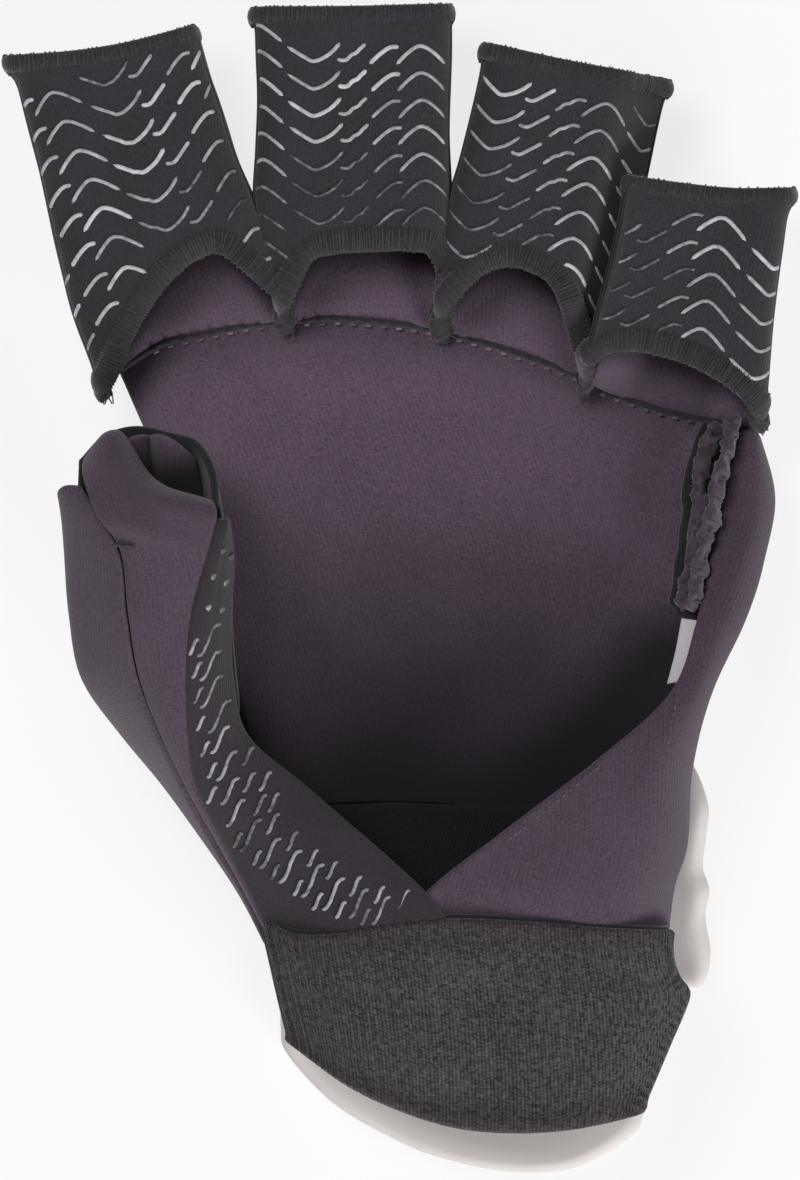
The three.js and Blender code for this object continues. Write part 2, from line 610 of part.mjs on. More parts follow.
const backRail = (v) => {
  const across = vAt(lerp(KNUCKLE_Y - THUMB_BACK, palmEndY, v), -1);
  const normal = handNormal(-1, across);
  const edge = handFace(-1, across).addScaledVector(normal, knitDepth);
  return edge.addScaledVector(vec(-normal.z, 0, normal.x), CORD_GAP + 2 * BASE_WALL);
};
const outerEdge = basePanel(BACK_SEAM + 2 * THUMB_SEAM_ANGLE, 0, OUTER_END_ANGLE + 2 * THUMB_SEAM_ANGLE, 0);
const thumbBackFace = (u, v) => mix(outerEdge(0, v), backRail(v), u);
add(glove, "thumb_base_back_panel", sheet(thumbBackFace, BASE_COLUMNS, BASE_ROWS, 0, -BASE_WALL), PALM_KNIT);
const padFace = thumbFace(BACK_SEAM + THUMB_PAD_INSET, 360 + PALM_SEAM - THUMB_PAD_INSET);
const thumbPadFace = (u, v) => padFace(u, lerp(THUMB_PAD_START, 1 - THUMB_PAD_START, v));
const thumbPad = sheet(thumbPadFace, THUMB_ROWS, THUMB_ROWS, -SEAM_GAP, -SEAM_GAP - THUMB_PAD_THICKNESS);
add(thumb, "thumb_pad", thumbPad, GUARD_FOAM, FOAM_ROUGHNESS);

// Little-finger side panel: covers the edge of the hand back, then crosses to the V as a strap.
function net(stations) {
  const curve = (points) => new THREE.CatmullRomCurve3(points);
  const rails = stations[0].map((_, i) => curve(stations.map((station) => station[i])));
  return (u, v) => curve(rails.map((rail) => rail.getPoint(v))).getPoint(u);
}
function sideStation(v) {
  const normal = handNormal(1, v);
  const out = vec(normal.z, 0, -normal.x);
  const at = (outward, height) => {
    return handFace(1, v).addScaledVector(out, outward).addScaledVector(normal, height);
  };
  const clear = SEAM_GAP + SIDE_WALL;
  return {
    dorsal: at(clear, knitDepth),
    bulge: at(clear + SIDE_BULGE, knitDepth / 2),
    rim: at(clear, SIDE_RIM),
  };
}
const strapStart = sideStation(STRAP_LEAVE).rim;
const strapEnd = cuffPoint(radians(VEE_ANGLE - 2 * THUMB_SEAM_ANGLE), palmEndY, 0);
const sideStations = SIDE_STATIONS.map((v) => {
  const { dorsal, bulge, rim } = sideStation(v);
  return [dorsal, bulge, mix(bulge, rim, RIM_ROLL), rim];
});
for (const [v, share] of STRAP_STATIONS) {
  const { dorsal, bulge } = sideStation(v);
  const edge = mix(strapStart, strapEnd, share);
  const crown = mix(bulge, edge, CROWN_SHARE);
  crown.z = Math.max(bulge.z, edge.z) + STRAP_ARCH * (1 - share);
  sideStations.push([dorsal, bulge, crown, edge]);
}
const strapFoot = STRAP_FOOT_ANGLES.map((angle) => cuffPoint(radians(angle), palmEndY, 0));
sideStations.push([...strapFoot, strapEnd]);
const STRAP_COLUMNS = 8;
const STRAP_ROWS = 16;
const sidePanel = sheet(net(sideStations), STRAP_COLUMNS, STRAP_ROWS, 0, -SIDE_WALL);
add(glove, "little_side_panel", sidePanel, PALM_KNIT);

// Seam tape and care label lie on the lining inside the little-finger side.
const sideU = (inset) => 1 - inset / (WRIST_WIDTH / 2);
const tapePlace = (u, v) => {
  const across = lerp(sideU(TAPE_INSET + TAPE_WIDTH), sideU(TAPE_INSET), u);
  return [across, lerp(TAPE_END, TAPE_START, v)];
};
const TAPE_COLUMNS = 2;
const TAPE_ROWS = 8;
const tape = handLayer(tapePlace, TAPE_COLUMNS, TAPE_ROWS, SEAM_GAP, SEAM_GAP + TAPE_THICKNESS);
add(glove, "side_seam_tape", tape, HEM_FABRIC);
const labelSpan = LABEL_LENGTH / HAND_LENGTH;
const labelPlace = (u, v) => {
  const across = lerp(sideU(TAPE_INSET + LABEL_WIDTH), sideU(TAPE_INSET), u);
  return [across, TAPE_END - LABEL_GAP / HAND_LENGTH - labelSpan * (1 - v)];
};
const label = handLayer(labelPlace, TAPE_COLUMNS, TAPE_ROWS, SEAM_GAP, SEAM_GAP + LABEL_THICKNESS);
add(glove, "care_label", label, LABEL_CLOTH);

// Wrist guard: a rounded tongue under the cuff that shows below its hem.
const tailTop = wristY - SEAM_GAP - TAIL_BEVEL;
const tailBottom = tailTop - TAIL_LENGTH + 2 * TAIL_BEVEL;
const tailHalf = TAIL_WIDTH / 2 - TAIL_BEVEL;
const tail = new THREE.Shape();
tail.moveTo(WRIST_SHIFT - tailHalf, tailTop);
tail.splineThru(TAIL_OUTLINE.map(([across, down]) => {
  return new THREE.Vector2(WRIST_SHIFT + tailHalf * across, lerp(tailTop, tailBottom, down));
}));
tail.lineTo(WRIST_SHIFT + tailHalf, tailTop);
tail.closePath();
add(glove, "wrist_guard", padBody(tail, foamTop, TAIL_BEVEL), GUARD_FOAM, FOAM_ROUGHNESS);

export default glove;
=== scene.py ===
# A field hockey glove for the left hand, lying on its back with the open palm facing up.
# Shapes are worked out in millimetres: +X to the little finger, +Y to the fingertips, +Z out of the palm.
import json
import bpy
import numpy as np
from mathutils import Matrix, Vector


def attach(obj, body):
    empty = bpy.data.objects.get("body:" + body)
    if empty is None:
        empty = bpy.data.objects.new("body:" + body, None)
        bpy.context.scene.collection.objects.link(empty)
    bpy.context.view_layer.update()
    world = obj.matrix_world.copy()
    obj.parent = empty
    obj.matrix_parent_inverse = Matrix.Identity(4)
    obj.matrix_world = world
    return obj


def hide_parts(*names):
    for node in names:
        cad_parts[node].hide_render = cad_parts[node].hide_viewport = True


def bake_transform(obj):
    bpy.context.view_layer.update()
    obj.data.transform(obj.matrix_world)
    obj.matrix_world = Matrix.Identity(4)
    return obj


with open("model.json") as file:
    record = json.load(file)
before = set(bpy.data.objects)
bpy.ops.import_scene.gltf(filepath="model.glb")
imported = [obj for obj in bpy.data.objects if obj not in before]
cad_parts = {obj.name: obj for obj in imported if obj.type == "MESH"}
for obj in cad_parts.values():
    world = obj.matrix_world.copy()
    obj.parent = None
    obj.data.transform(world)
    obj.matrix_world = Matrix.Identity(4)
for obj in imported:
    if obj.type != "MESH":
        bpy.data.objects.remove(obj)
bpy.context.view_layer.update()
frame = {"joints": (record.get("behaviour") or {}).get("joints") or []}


# Lining of the hand back: one piece of brushed purple-grey stretch knit that the hand lies on.
# It is bonded to the foam below, runs under the finger linings at the knuckles and rises at both sides.
MM = 0.001
HANGING = {"index": 16.4, "middle": 2.0, "ring": -11.0, "little": -11.0}
KNUCKLE_SEAM = [
    (-44, 34.2), (-37.5, 38.2), (-31.2, 39.8), (-23.4, 41.4), (-17.9, 41.9), (-10.9, 42.4), (-3.1, 41.9),
    (4.7, 40.8), (12.5, 38.8), (20.3, 36.3), (27.3, 33.7), (31.6, 31.3), (40.6, 28.2), (50, 26.2),
    (54.8, 25.3),
]
LINING_TOP = 10.5
LINING_THICKNESS = 1.2
LINING_START = -33.1
WRIST_Y = -62.1
WRIST_SHIFT = 10.5
WRIST_HALF = 29.5
THUMB_WAIST = 6.0
LITTLE_WAIST = 5.0
LITTLE_FLARE = 6.2
THUMB_RISE = 6.0
LITTLE_RISE = 11.0
WRIST_RISE = 0.12
FULL_RISE = 0.52
CURL_FROM = 0.45
SEAM_TUCK = 0.9
SEAM_TUCK_REACH = 2.2
PILLOW = 0.7
PILLOW_BACK = 7.0
PILLOW_REACH = 4.5
PALM_LIGHT = (106, 89, 106)
PALM_DARK = (50, 39, 51)
# Painted shade on the hand lining: darker towards the palm's heel and near the strap's palm edge.
STRAP_EDGE = [(42.6, -13.0), (30.7, -25.8), (16.6, -36.6), (4.6, -46.0)]
STRAP_SHADE_REACH = (3.0, 16.0)
HEEL = (-2.0, -40.0)
HEEL_SHADE_REACH = (8.0, 64.0)
HEEL_SHADE_SQUEEZE = 1.14
# A near-black blue: the colour of painted shade on the linings.
PAINTED_SHADE_COLOUR = (6, 7, 12)

knuckles = {joint["child"]: np.array(joint["pos_m"]) / MM for joint in frame["joints"]}


def smooth(share):
    share = np.clip(share, 0, 1)
    return share * share * (3 - 2 * share)


def blend_of(low, high, share):
    return low + (high - low) * share


def turned(finger, points):
    """Points of a finger's own frame, with Y along the finger, moved to its place on the hand."""
    angle = np.radians(HANGING[finger])
    x, y, z = np.moveaxis(np.asarray(points, float), -1, 0)
    across = x * np.cos(angle) - y * np.sin(angle)
    along = x * np.sin(angle) + y * np.cos(angle)
    return np.stack([across, along, z], -1) + knuckles[finger]


def spline(points, share):
    """Smooth curve through points, along their first axis, at shares of its steps."""
    points = np.asarray(points, float)
    last = len(points) - 1
    ends = np.concatenate([[2 * points[0] - points[1]], points, [2 * points[-1] - points[-2]]])
    place = np.clip(np.asarray(share, float), 0, 1) * last
    step = np.minimum(place.astype(int), last - 1)
    part = (place - step).reshape(place.shape + (1,) * (points.ndim - 1))
    before, here, after, beyond = (ends[step + i] for i in range(4))
    bend = 3 * (here - after) + beyond - before
    slope = 2 * before - 5 * here + 4 * after - beyond
    return here + 0.5 * part * (after - before + part * (slope + part * bend))


def curve(points, count):
    return spline(points, np.linspace(0, 1, count))


def hump(offset, reach):
    """1 where the offset is none, falling softly to 0 beyond the reach."""
    return np.exp(-((offset / reach) ** 2))


seam_line = curve(KNUCKLE_SEAM, 200)


def hand_face(u, v):
    """Inner face of the hand back: u from thumb side, -1, to little side, 1; v from wrist to knuckles."""
    front_x = blend_of(seam_line[0, 0], seam_line[-1, 0], (u + 1) / 2)
    inside = np.clip(v, 0, 1)
    waist = np.where(u < 0, THUMB_WAIST * np.sin(np.pi * inside), LITTLE_WAIST * np.sin(np.pi * inside**1.6))
    flare = np.where(u < 0, 0.0, LITTLE_FLARE) * np.sin(np.pi * inside**3.5)
    x = blend_of(WRIST_SHIFT + u * WRIST_HALF, front_x, v) + u * (flare - waist)
    y = blend_of(WRIST_Y, np.interp(front_x, *seam_line.T), v)
    side = np.maximum(0, (np.abs(u) - CURL_FROM) / (1 - CURL_FROM))
    curl = np.where(side < 1, side * side, 2 * side - 1)
    swell = blend_of(WRIST_RISE, 1, smooth(v / FULL_RISE)) * (1 - smooth((v - FULL_RISE) / (1 - FULL_RISE)))
    z = LINING_TOP + np.where(u > 0, LITTLE_RISE, THUMB_RISE) * curl * swell
    return np.stack(np.broadcast_arrays(x, y, z), -1)


def ripple(points, length):
    """Soft unevenness from -1 to 1, with waves of about that length in mm."""
    x, y, z = np.moveaxis(points, -1, 0) * (2 * np.pi / length)
    first = np.sin(x + 0.6 * y + 1.7)
    second = np.sin(0.7 * y - 0.8 * x + 0.4 * z)
    third = np.sin(1.3 * x + 1.1 * z - 0.9 * y + 4.0)
    return (first + second + third) / 3


def edged(count):
    """Shares from 0 to 1 in count steps, with two more close to each end for a round edge."""
    inner = np.arange(1, count) / count
    near = np.array([0, 0.14, 0.45]) / count
    return np.concatenate([near, inner, 1 - near[::-1]])


def mesh_piece(name, points, faces, **attributes):
    """A smooth mesh object from points in mm; each attribute holds one number or vector per point."""
    mesh = bpy.data.meshes.new(name)
    mesh.from_pydata((np.asarray(points) * MM).tolist(), [], [list(map(int, face)) for face in faces])
    for key, values in attributes.items():
        values = np.asarray(values, np.float32)
        kind, field = ("FLOAT_VECTOR", "vector") if values.ndim > 1 else ("FLOAT", "value")
        mesh.attributes.new(key, kind, "POINT").data.foreach_set(field, values.ravel())
    mesh.shade_smooth()
    piece = bpy.data.objects.new(name, mesh)
    bpy.context.scene.collection.objects.link(piece)
    return piece


def unit(vectors):
    return vectors / np.maximum(np.linalg.norm(vectors, axis=-1, keepdims=True), 1e-9)


def normals_of(grid):
    return unit(np.cross(np.gradient(grid, axis=1), np.gradient(grid, axis=0)))


def lengths_along(grid, axis=0):
    """Distance in mm from the start of a path, or of each row or column of a grid of points."""
    steps = np.linalg.norm(np.diff(grid, axis=axis), axis=-1)
    start = np.zeros_like(np.take(steps, [0], axis))
    return np.concatenate([start, np.cumsum(steps, axis)], axis)


def panel(name, face, columns, rows, near, far, rumple=0.0, wave=30.0):
    """A sewn panel: a closed sheet between two heights over face(u, v), with round edges.
    Its points keep the lay, the place in mm across and along the cut cloth, and the distance to its edge."""
    u, v = edged(columns), edged(rows)
    grid = face(u[None, :], v[:, None])
    normal = normals_of(grid)
    across, along = lengths_along(grid, 1), lengths_along(grid, 0)
    rim = np.minimum(np.minimum(across, across[:, -1:] - across), np.minimum(along, along[-1:] - along))
    near = near(u[None, :], v[:, None]) if callable(near) else near
    far = far(u[None, :], v[:, None]) if callable(far) else far
    half = np.abs(near - far) / 2
    round_edge = np.sqrt(1 - (1 - np.clip(rim / np.maximum(half, 0.2), 0, 1)) ** 2)
    middle = (near + far) / 2 + rumple * ripple(grid, wave)
    height = (near - far) / 2 * round_edge
    top = grid + normal * (middle + height)[..., None]
    bottom = grid + normal * (middle - height)[..., None]
    count = grid.shape[0] * grid.shape[1]
    top_index = np.arange(count).reshape(grid.shape[:2])
    bottom_index = top_index + count
    for edge in (np.s_[0], np.s_[-1], np.s_[:, 0], np.s_[:, -1]):
        bottom_index[edge] = top_index[edge]
    quads = []
    for index, order in ((top_index, 1), (bottom_index, -1)):
        ring = [index[:-1, :-1], index[:-1, 1:], index[1:, 1:], index[1:, :-1]]
        quads.append(np.stack(ring[::order], -1).reshape(-1, 4))
    points = np.concatenate([top.reshape(-1, 3), bottom.reshape(-1, 3)])
    used, faces = np.unique(np.concatenate(quads), return_inverse=True)
    lay = np.stack([across, along, rim], -1).reshape(-1, 3)
    lay = np.concatenate([lay, lay])[used]
    return mesh_piece(name, points[used], faces.reshape(-1, 4), lay=lay)


class Shade:
    """A socket of a material's graph. Arithmetic on it adds Math nodes; node() adds any other kind."""

    def __init__(self, tree, socket=None):
        self.tree = tree
        self.socket = socket

    def node(self, kind, settings, inputs, output=0):
        made = self.tree.nodes.new(kind)
        for name, value in settings.items():
            setattr(made, name, value)
        for name, value in inputs.items():
            if isinstance(value, Shade):
                self.tree.links.new(value.socket, made.inputs[name])
            else:
                made.inputs[name].default_value = value
        return Shade(self.tree, made.outputs[output] if made.outputs else None)

    def maths(self, operation, first, second=0.0):
        return self.node("ShaderNodeMath", {"operation": operation}, {0: first, 1: second})

    def __add__(self, other):
        return self.maths("ADD", self, other)

    def __sub__(self, other):
        return self.maths("SUBTRACT", self, other)

    def __rsub__(self, other):
        return self.maths("SUBTRACT", other, self)

    def __mul__(self, other):
        return self.maths("MULTIPLY", self, other)

    def __truediv__(self, other):
        return self.maths("DIVIDE", self, other)

    __radd__ = __add__
    __rmul__ = __mul__


def dye(red, green, blue):
    """A screen colour, 0 to 255, as the linear colour that a shader takes."""
    share = np.array([red, green, blue]) / 255
    linear = np.where(share < 0.04045, share / 12.92, ((share + 0.055) / 1.055) ** 2.4)
    return (*linear.tolist(), 1.0)


def new_finish(name):
    material = bpy.data.materials.new(name)
    material.use_nodes = True
    material.node_tree.nodes.clear()
    return material, Shade(material.node_tree)


def close_finish(shade, inputs):
    """Ends a material's graph with its surface shader."""
    surface = shade.node("ShaderNodeBsdfPrincipled", {}, inputs)
    shade.node("ShaderNodeOutputMaterial", {}, {"Surface": surface})


def attribute(shade, name, output):
    return shade.node("ShaderNodeAttribute", {"attribute_name": name}, {}, output)


def axis_of(vector, axis):
    return vector.node("ShaderNodeSeparateXYZ", {}, {0: vector}, axis)


def noise(place, scale, detail=2.0, roughness=0.5):
    settings = {"Vector": place, "Scale": scale, "Detail": detail, "Roughness": roughness}
    return place.node("ShaderNodeTexNoise", {}, settings)


def mixed(share, dark, light):
    """Colour between two others, at a share that is held from 0 to 1."""
    settings = {"data_type": "RGBA", "clamp_factor": True}
    return share.node("ShaderNodeMix", settings, {0: share, 6: dark, 7: light}, 2)


def bumped(height, strength, depth):
    return height.node("ShaderNodeBump", {}, {"Strength": strength, "Distance": depth * MM, "Height": height})


def knit_finish(
    name, light, dark, wale=0.74, course=0.5, relief=0.12, sheen=0.15, fleck=0.8, painted_shade=False,
):
    """Weft knit: columns of V-shaped loops, wale mm wide and course mm high, with a mottled yarn.
    With painted shade, the colour also falls to a near-black where a share stored on each point is low."""
    material, shade = new_finish(name)
    lay = attribute(shade, "lay", "Vector")
    column = axis_of(lay, "X") / wale
    row = axis_of(lay, "Y") / course
    off_centre = shade.maths("ABSOLUTE", shade.maths("FRACT", column) - 0.5) * 2
    leg = 1 - off_centre * off_centre
    loop = shade.maths("COSINE", (row + off_centre * 0.55) * (2 * np.pi))
    stitch = leg * (loop * 0.3 + 0.7)
    yarn = noise(lay, 1.7, 4.0, 0.75)
    cloud = noise(lay, 0.09)
    tone = stitch * 0.26 + (yarn - 0.5) * (fleck * 2) + (cloud - 0.5) * 0.35 + 0.4
    colour = mixed(tone, dye(*dark), dye(*light))
    # Painted shade: the colour is mixed towards the near-black blue where the stored share is low.
    if painted_shade:
        colour = mixed(attribute(shade, "unshaded", "Fac"), dye(*PAINTED_SHADE_COLOUR), colour)
    close_finish(shade, {
        "Base Color": colour, "Roughness": 0.93, "Specular IOR Level": 0.25,
        "Normal": bumped(stitch + (yarn - 0.5) * 0.8, 0.5, relief),
        "Sheen Weight": sheen, "Sheen Roughness": 0.55,
    })
    return material


palm_knit = knit_finish("palm_knit", PALM_LIGHT, PALM_DARK)


def dress(piece, material, slot, *nodes):
    """Gives a piece its finish and hides the solids, if any, that it stands for."""
    piece.data.materials.append(material)
    if nodes:
        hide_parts(*nodes)
    return piece


def lining_face(u, v):
    across = blend_of(-1, 1, u)
    along = blend_of((LINING_START - WRIST_Y) / (knuckles["middle"][1] - WRIST_Y), 1, v)
    points = hand_face(across, along)
    back_from_seam = (1 - along) * (knuckles["middle"][1] - WRIST_Y)
    tuck = -SEAM_TUCK * hump(back_from_seam, SEAM_TUCK_REACH)
    pillow = PILLOW * hump(back_from_seam - PILLOW_BACK, PILLOW_REACH)
    points[..., 2] += tuck + pillow
    return points


def spots_of(piece):
    return np.array([vertex.co for vertex in piece.data.vertices]) / MM


def set_unshaded(piece, share):
    """Stores each point's share out of painted shade: from 0, the darkest painted shade, to 1, none."""
    piece.data.attributes.new("unshaded", "FLOAT", "POINT").data.foreach_set("value", share.astype(np.float32))


# A copy of the palm knit with painted shade; the hand lining, finger linings and thumb fold wear it.
shaded_lining_knit = knit_finish("shaded_lining_knit", PALM_LIGHT, PALM_DARK, painted_shade=True)
lining = panel("lining_cloth", lining_face, 100, 76, 0.0, -LINING_THICKNESS, rumple=0.25, wave=42.0)
spots = spots_of(lining)
# Painted shade: each point's share falls near the strap's edge and towards the heel.
strap_edge = curve(STRAP_EDGE, 60)
from_strap = np.linalg.norm(spots[:, None, :2] - strap_edge[None], axis=2).min(1)
from_heel = np.hypot(HEEL_SHADE_SQUEEZE * (spots[:, 0] - HEEL[0]), spots[:, 1] - HEEL[1])
unshaded = np.clip((from_heel - HEEL_SHADE_REACH[0]) / (HEEL_SHADE_REACH[1] - HEEL_SHADE_REACH[0]), 0.05, 1)
unshaded *= blend_of(0.06, 1, smooth((from_strap - STRAP_SHADE_REACH[0]) / (STRAP_SHADE_REACH[1] - STRAP_SHADE_REACH[0])))
set_unshaded(lining, unshaded)
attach(dress(lining, shaded_lining_knit, "palm_knit", "back_lining"), "hand")


# Back of the hand: soft foam under the lining, and a thin outer knit that covers it on the outside.
# Both are bonded to the layers beside them; the knit turns up round the foam's edge to meet the lining.
FOAM_TOP = -1.5
FOAM_THICKNESS = 3.2
OUTER_KNIT_TOP = -5.0
OUTER_KNIT_THICKNESS = 1.0
TURN_UP = 3.6
TURN_UP_SHARE = 0.04
FOAM_SPAN = (-0.92, 0.86)
FOAM_END = 0.96
OUTER_KNIT_SPAN = (-0.99, 0.96)


def foam_finish(name, light, dark, grain, roughness):
    """Closed-cell foam: an even colour with a fine moulded grain and faint clouds."""
    material, shade = new_finish(name)
    lay = attribute(shade, "lay", "Vector")
    pores = noise(lay, grain, 4.0)
    cloud = noise(lay, 0.12)
    close_finish(shade, {
        "Base Color": mixed((pores - 0.5) * 0.5 + cloud, dye(*dark), dye(*light)),
        "Roughness": pores * 0.2 + (roughness - 0.1), "Normal": bumped(pores, 0.3, 0.06),
        "Specular IOR Level": 0.35, "Sheen Weight": 0.08,
    })
    return material


inner_foam = foam_finish("inner_foam", (58, 54, 60), (44, 41, 47), 3.0, 0.9)
back_foam = panel(
    "back_foam_layer", lambda u, v: hand_face(blend_of(*FOAM_SPAN, u), FOAM_END * v),
    50, 52, FOAM_TOP, FOAM_TOP - FOAM_THICKNESS,
)
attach(dress(back_foam, inner_foam, "inner_foam", "back_foam"), "hand")


def knit_outside(u, v):
    from_edge = np.minimum(np.minimum(u, 1 - u), 1 - v)
    return OUTER_KNIT_TOP - OUTER_KNIT_THICKNESS + TURN_UP * smooth(1 - from_edge / TURN_UP_SHARE)


back_knit = panel(
    "back_knit_cloth", lambda u, v: hand_face(blend_of(*OUTER_KNIT_SPAN, u), v), 130, 110,
    lambda u, v: knit_outside(u, v) + OUTER_KNIT_THICKNESS, knit_outside,
)
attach(dress(back_knit, palm_knit, "palm_knit", "back_knit"), "hand")


# Back guard: a plate of light-grey moulded EVA foam bonded to the outer knit.
# Near the wrist a wing with two lobes stands out past the little-finger edge; flex grooves cross its outside.
GUARD_TOP = -6.5
GUARD_THICKNESS = 4.0
GUARD_LIGHT = (224, 218, 215)
GUARD_DARK = (210, 204, 201)
GUARD_START = -0.9
GUARD_REACH = 0.88
GUARD_END = 0.971
GUARD_CORNER = 0.16
WING_END = 0.42
WING_FADE = 0.12
GROOVES = (0.3, 0.5, 0.7)
GROOVE_DEPTH = 1.2
GROOVE_WIDTH = 0.011
WING = [
    (44.8, -62.4), (46.6, -61.2), (47.2, -58), (45.8, -53.6), (45.6, -49.6), (43.8, -46), (43.2, -41),
    (42.7, -36.1), (40.8, -30), (38.2, -24), (36.6, -16),
]
wing_line = curve(WING, 120)

guard_foam = foam_finish("guard_foam", GUARD_LIGHT, GUARD_DARK, 2.2, 0.6)


def guard_face(u, v):
    round_end = GUARD_CORNER * np.clip(np.abs(2 * v - 1), 0, 1) ** 9
    along = GUARD_END * v
    middle, side = hand_face(np.zeros(1), along), hand_face(np.ones(1), along)
    wing = (np.interp(side[..., 1], *wing_line.T[::-1]) - middle[..., 0]) / (side[..., 0] - middle[..., 0])
    reach = blend_of(wing, GUARD_REACH - round_end, smooth((v - WING_END) / WING_FADE))
    return hand_face(blend_of(GUARD_START + round_end, reach, u), along)


def guard_outside(u, v):
    groove = sum(hump(v - place, GROOVE_WIDTH) for place in GROOVES)
    between_edges = smooth(u / 0.1) * smooth((1 - u) / 0.1)
    return GUARD_TOP - GUARD_THICKNESS + GROOVE_DEPTH * groove * between_edges


guard = panel("back_guard_shell", guard_face, 60, 110, GUARD_TOP, guard_outside)
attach(dress(guard, guard_foam, "eva_foam", "back_guard"), "hand")


# Wrist guard: a rounded tongue of the same moulded foam, bonded under the cuff.
# Its soft edge shows below the cuff hem as a light-grey rim.
TONGUE_HEIGHT = 9.0
TONGUE_EDGE = 2.6
TONGUE = [
    (-18.5, -62.2), (-18.7, -68.5), (-17.6, -72.8), (-10.2, -80.6), (-0.3, -86.3), (6.6, -89),
    (16, -91), (25, -91), (31, -89), (36.4, -85.4), (38.2, -81.8), (39.3, -72), (39.5, -62.2),
]


def tube(rings):
    """Points and faces of a closed tube through rings of points, with flat ends."""
    rows, count = rings.shape[:2]
    index = np.arange(rows * count).reshape(rows, count)
    after = np.roll(index, -1, axis=1)
    quads = np.stack([index[:-1], after[:-1], after[1:], index[1:]], -1).reshape(-1, 4).tolist()
    return rings.reshape(-1, 3), [*quads, index[0][::-1].tolist(), index[-1].tolist()]


def foam_block(outline, floor, top, edge):
    """A moulded block over a closed outline, with round edges."""
    outline = np.asarray(outline, float)
    centre = outline.mean(0)
    reach = np.linalg.norm(outline - centre, axis=1).mean()
    insets = [(reach * part, floor) for part in (1, 0.66, 0.33)]
    for angle in np.linspace(-np.pi / 2, np.pi / 2, 9):
        height = floor + edge if angle < 0 else top - edge
        insets.append((edge * (1 - np.cos(angle)), height + edge * np.sin(angle)))
    insets += [(reach * part, top) for part in (0.33, 0.66, 1)]
    rings = []
    for inset, height in insets:
        ring = centre + (outline - centre) * max(1 - inset / reach, 1e-3)
        rings.append(np.column_stack([ring, np.full(len(ring), height)]))
    return tube(np.stack(rings))


tongue_line = curve(TONGUE, 90)
tongue_outline = np.concatenate([tongue_line, np.linspace(tongue_line[-1], tongue_line[0], 24)[1:-1]])
tongue_points, tongue_faces = foam_block(tongue_outline, 0.0, TONGUE_HEIGHT, TONGUE_EDGE)
wrist_guard = mesh_piece("wrist_guard_shell", tongue_points, tongue_faces, lay=tongue_points)
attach(dress(wrist_guard, guard_foam, "eva_foam", "wrist_guard"), "hand")


# Finger stalls: four flat sleeves with open ends, each sewn of a dark grip panel, two side gussets and a
# knit lining at the back. Wavy dashes of pale silicone, worn thin in places, are printed on the grip panel.
# Overlocked hems bind the open tip and the arched mouth at the palm, and two foam pads back each stall.
STALL_HALF_HEIGHT = 7.0
STALL_MIDDLE = 6.4
STALL_WALL = 1.2
STALL_SQUARENESS = 0.55
PROFILE_LENGTH = 45.0
SEAM_ANGLE = 14.0
LOW_ANGLE = -34.0
MOUTH_REACH = 1.2
MOUTH_WRAP = 0.4
TIP_INSET = 0.6
# Painted shadow under each stall's arched mouth: the width of its fall and how far past the mouth's edge it
# ends.
ARCH_SHADE_BAND = 5.0
ARCH_SHADE_LEAD = 0.4
TIP_FLARE = 0.9
TIP_FLARE_REACH = 2.0
PRESS_FROM = 0.4
PRESS_START = -2.0
PRESS_RISE = 8.0
SAG = 1.1
SAG_RISE = 5.0
# Half widths go from the knuckle to the tip in steps of 9 mm; the mouth's edge goes round from thumb side to
# little side; worn spots of the print have a place and a reach. The little stall lies over the edge of the
# ring stall, so both are pressed flat there.
STALLS = {
    "index": {
        "left": (15.6, 15.9, 15.6, 14.9, 14.4, 14.3), "right": (16.6, 16.9, 16.4, 15.5, 15.2, 15.2),
        "length": 48.4, "skew": 3.7, "dip": 1.3, "pressed": (0, 0, 1), "pad": (-12.2, 12.2),
        "mouth": (-5, -3, 2.6, 7, 10.4, 12.2, 11.7, 4.6, -2.5), "print": (-13.3, 44.5, 4.85, 0.55),
        "worn": ((0, 48, 8), (11, 18, 8)),
    },
    "middle": {
        "left": (12.6, 14.4, 16.4, 15.9, 15.2, 15.3), "right": (12.9, 13.8, 14.4, 14.6, 14.9, 15.3),
        "length": 48.8, "skew": 0.6, "dip": 0.2, "pressed": (0, 0, 1), "pad": (-9.7, 9.7),
        "mouth": (-1.5, 4, 9.8, 11.2, 11.4, 11.4, 11.2, 9.4, -1.5), "print": (6.5, 43.5, 4.2, 0),
        "worn": ((4, 15, 12), (-8, 17, 9)),
    },
    "ring": {
        "left": (13, 14.6, 15.5, 14.8, 14.4, 14.3), "right": (11.2, 13.2, 14, 14.4, 14.7, 15),
        "length": 45.4, "skew": 0, "dip": 0.4, "pressed": (1, 0.45, -1), "pad": (-8.7, 8.7),
        "mouth": (-1.5, 5, 10.4, 12.7, 12.6, 10.8, 5.6, 0.5, -3), "print": (2.6, 41, 4.3, -0.2),
        "worn": ((-11, 20, 13), (9, 42, 9)),
    },
    "little": {
        "left": (17, 16.8, 16.3, 16, 15.9, 15.9), "right": (12.4, 11.6, 10.9, 10.2, 9.6, 9.6),
        "length": 34.8, "skew": -3.2, "dip": 0.6, "pressed": (-1, 0.9, 1), "pad": (-9, 9),
        "mouth": (-1.5, 5.6, 7.4, 7.6, 7, 5.9, 4.5, 2, -2), "print": (-3.5, 26.6, 4.35, 0),
        "worn": ((-13, 22, 11), (-9, 6, 9)),
    },
}
GRIP_LIGHT = (60, 55, 62)
GRIP_DARK = (27, 24, 29)
STALL_RUMPLE = 0.22
STALL_WAVE = 19.0
PRINT_PERIOD = 25.4
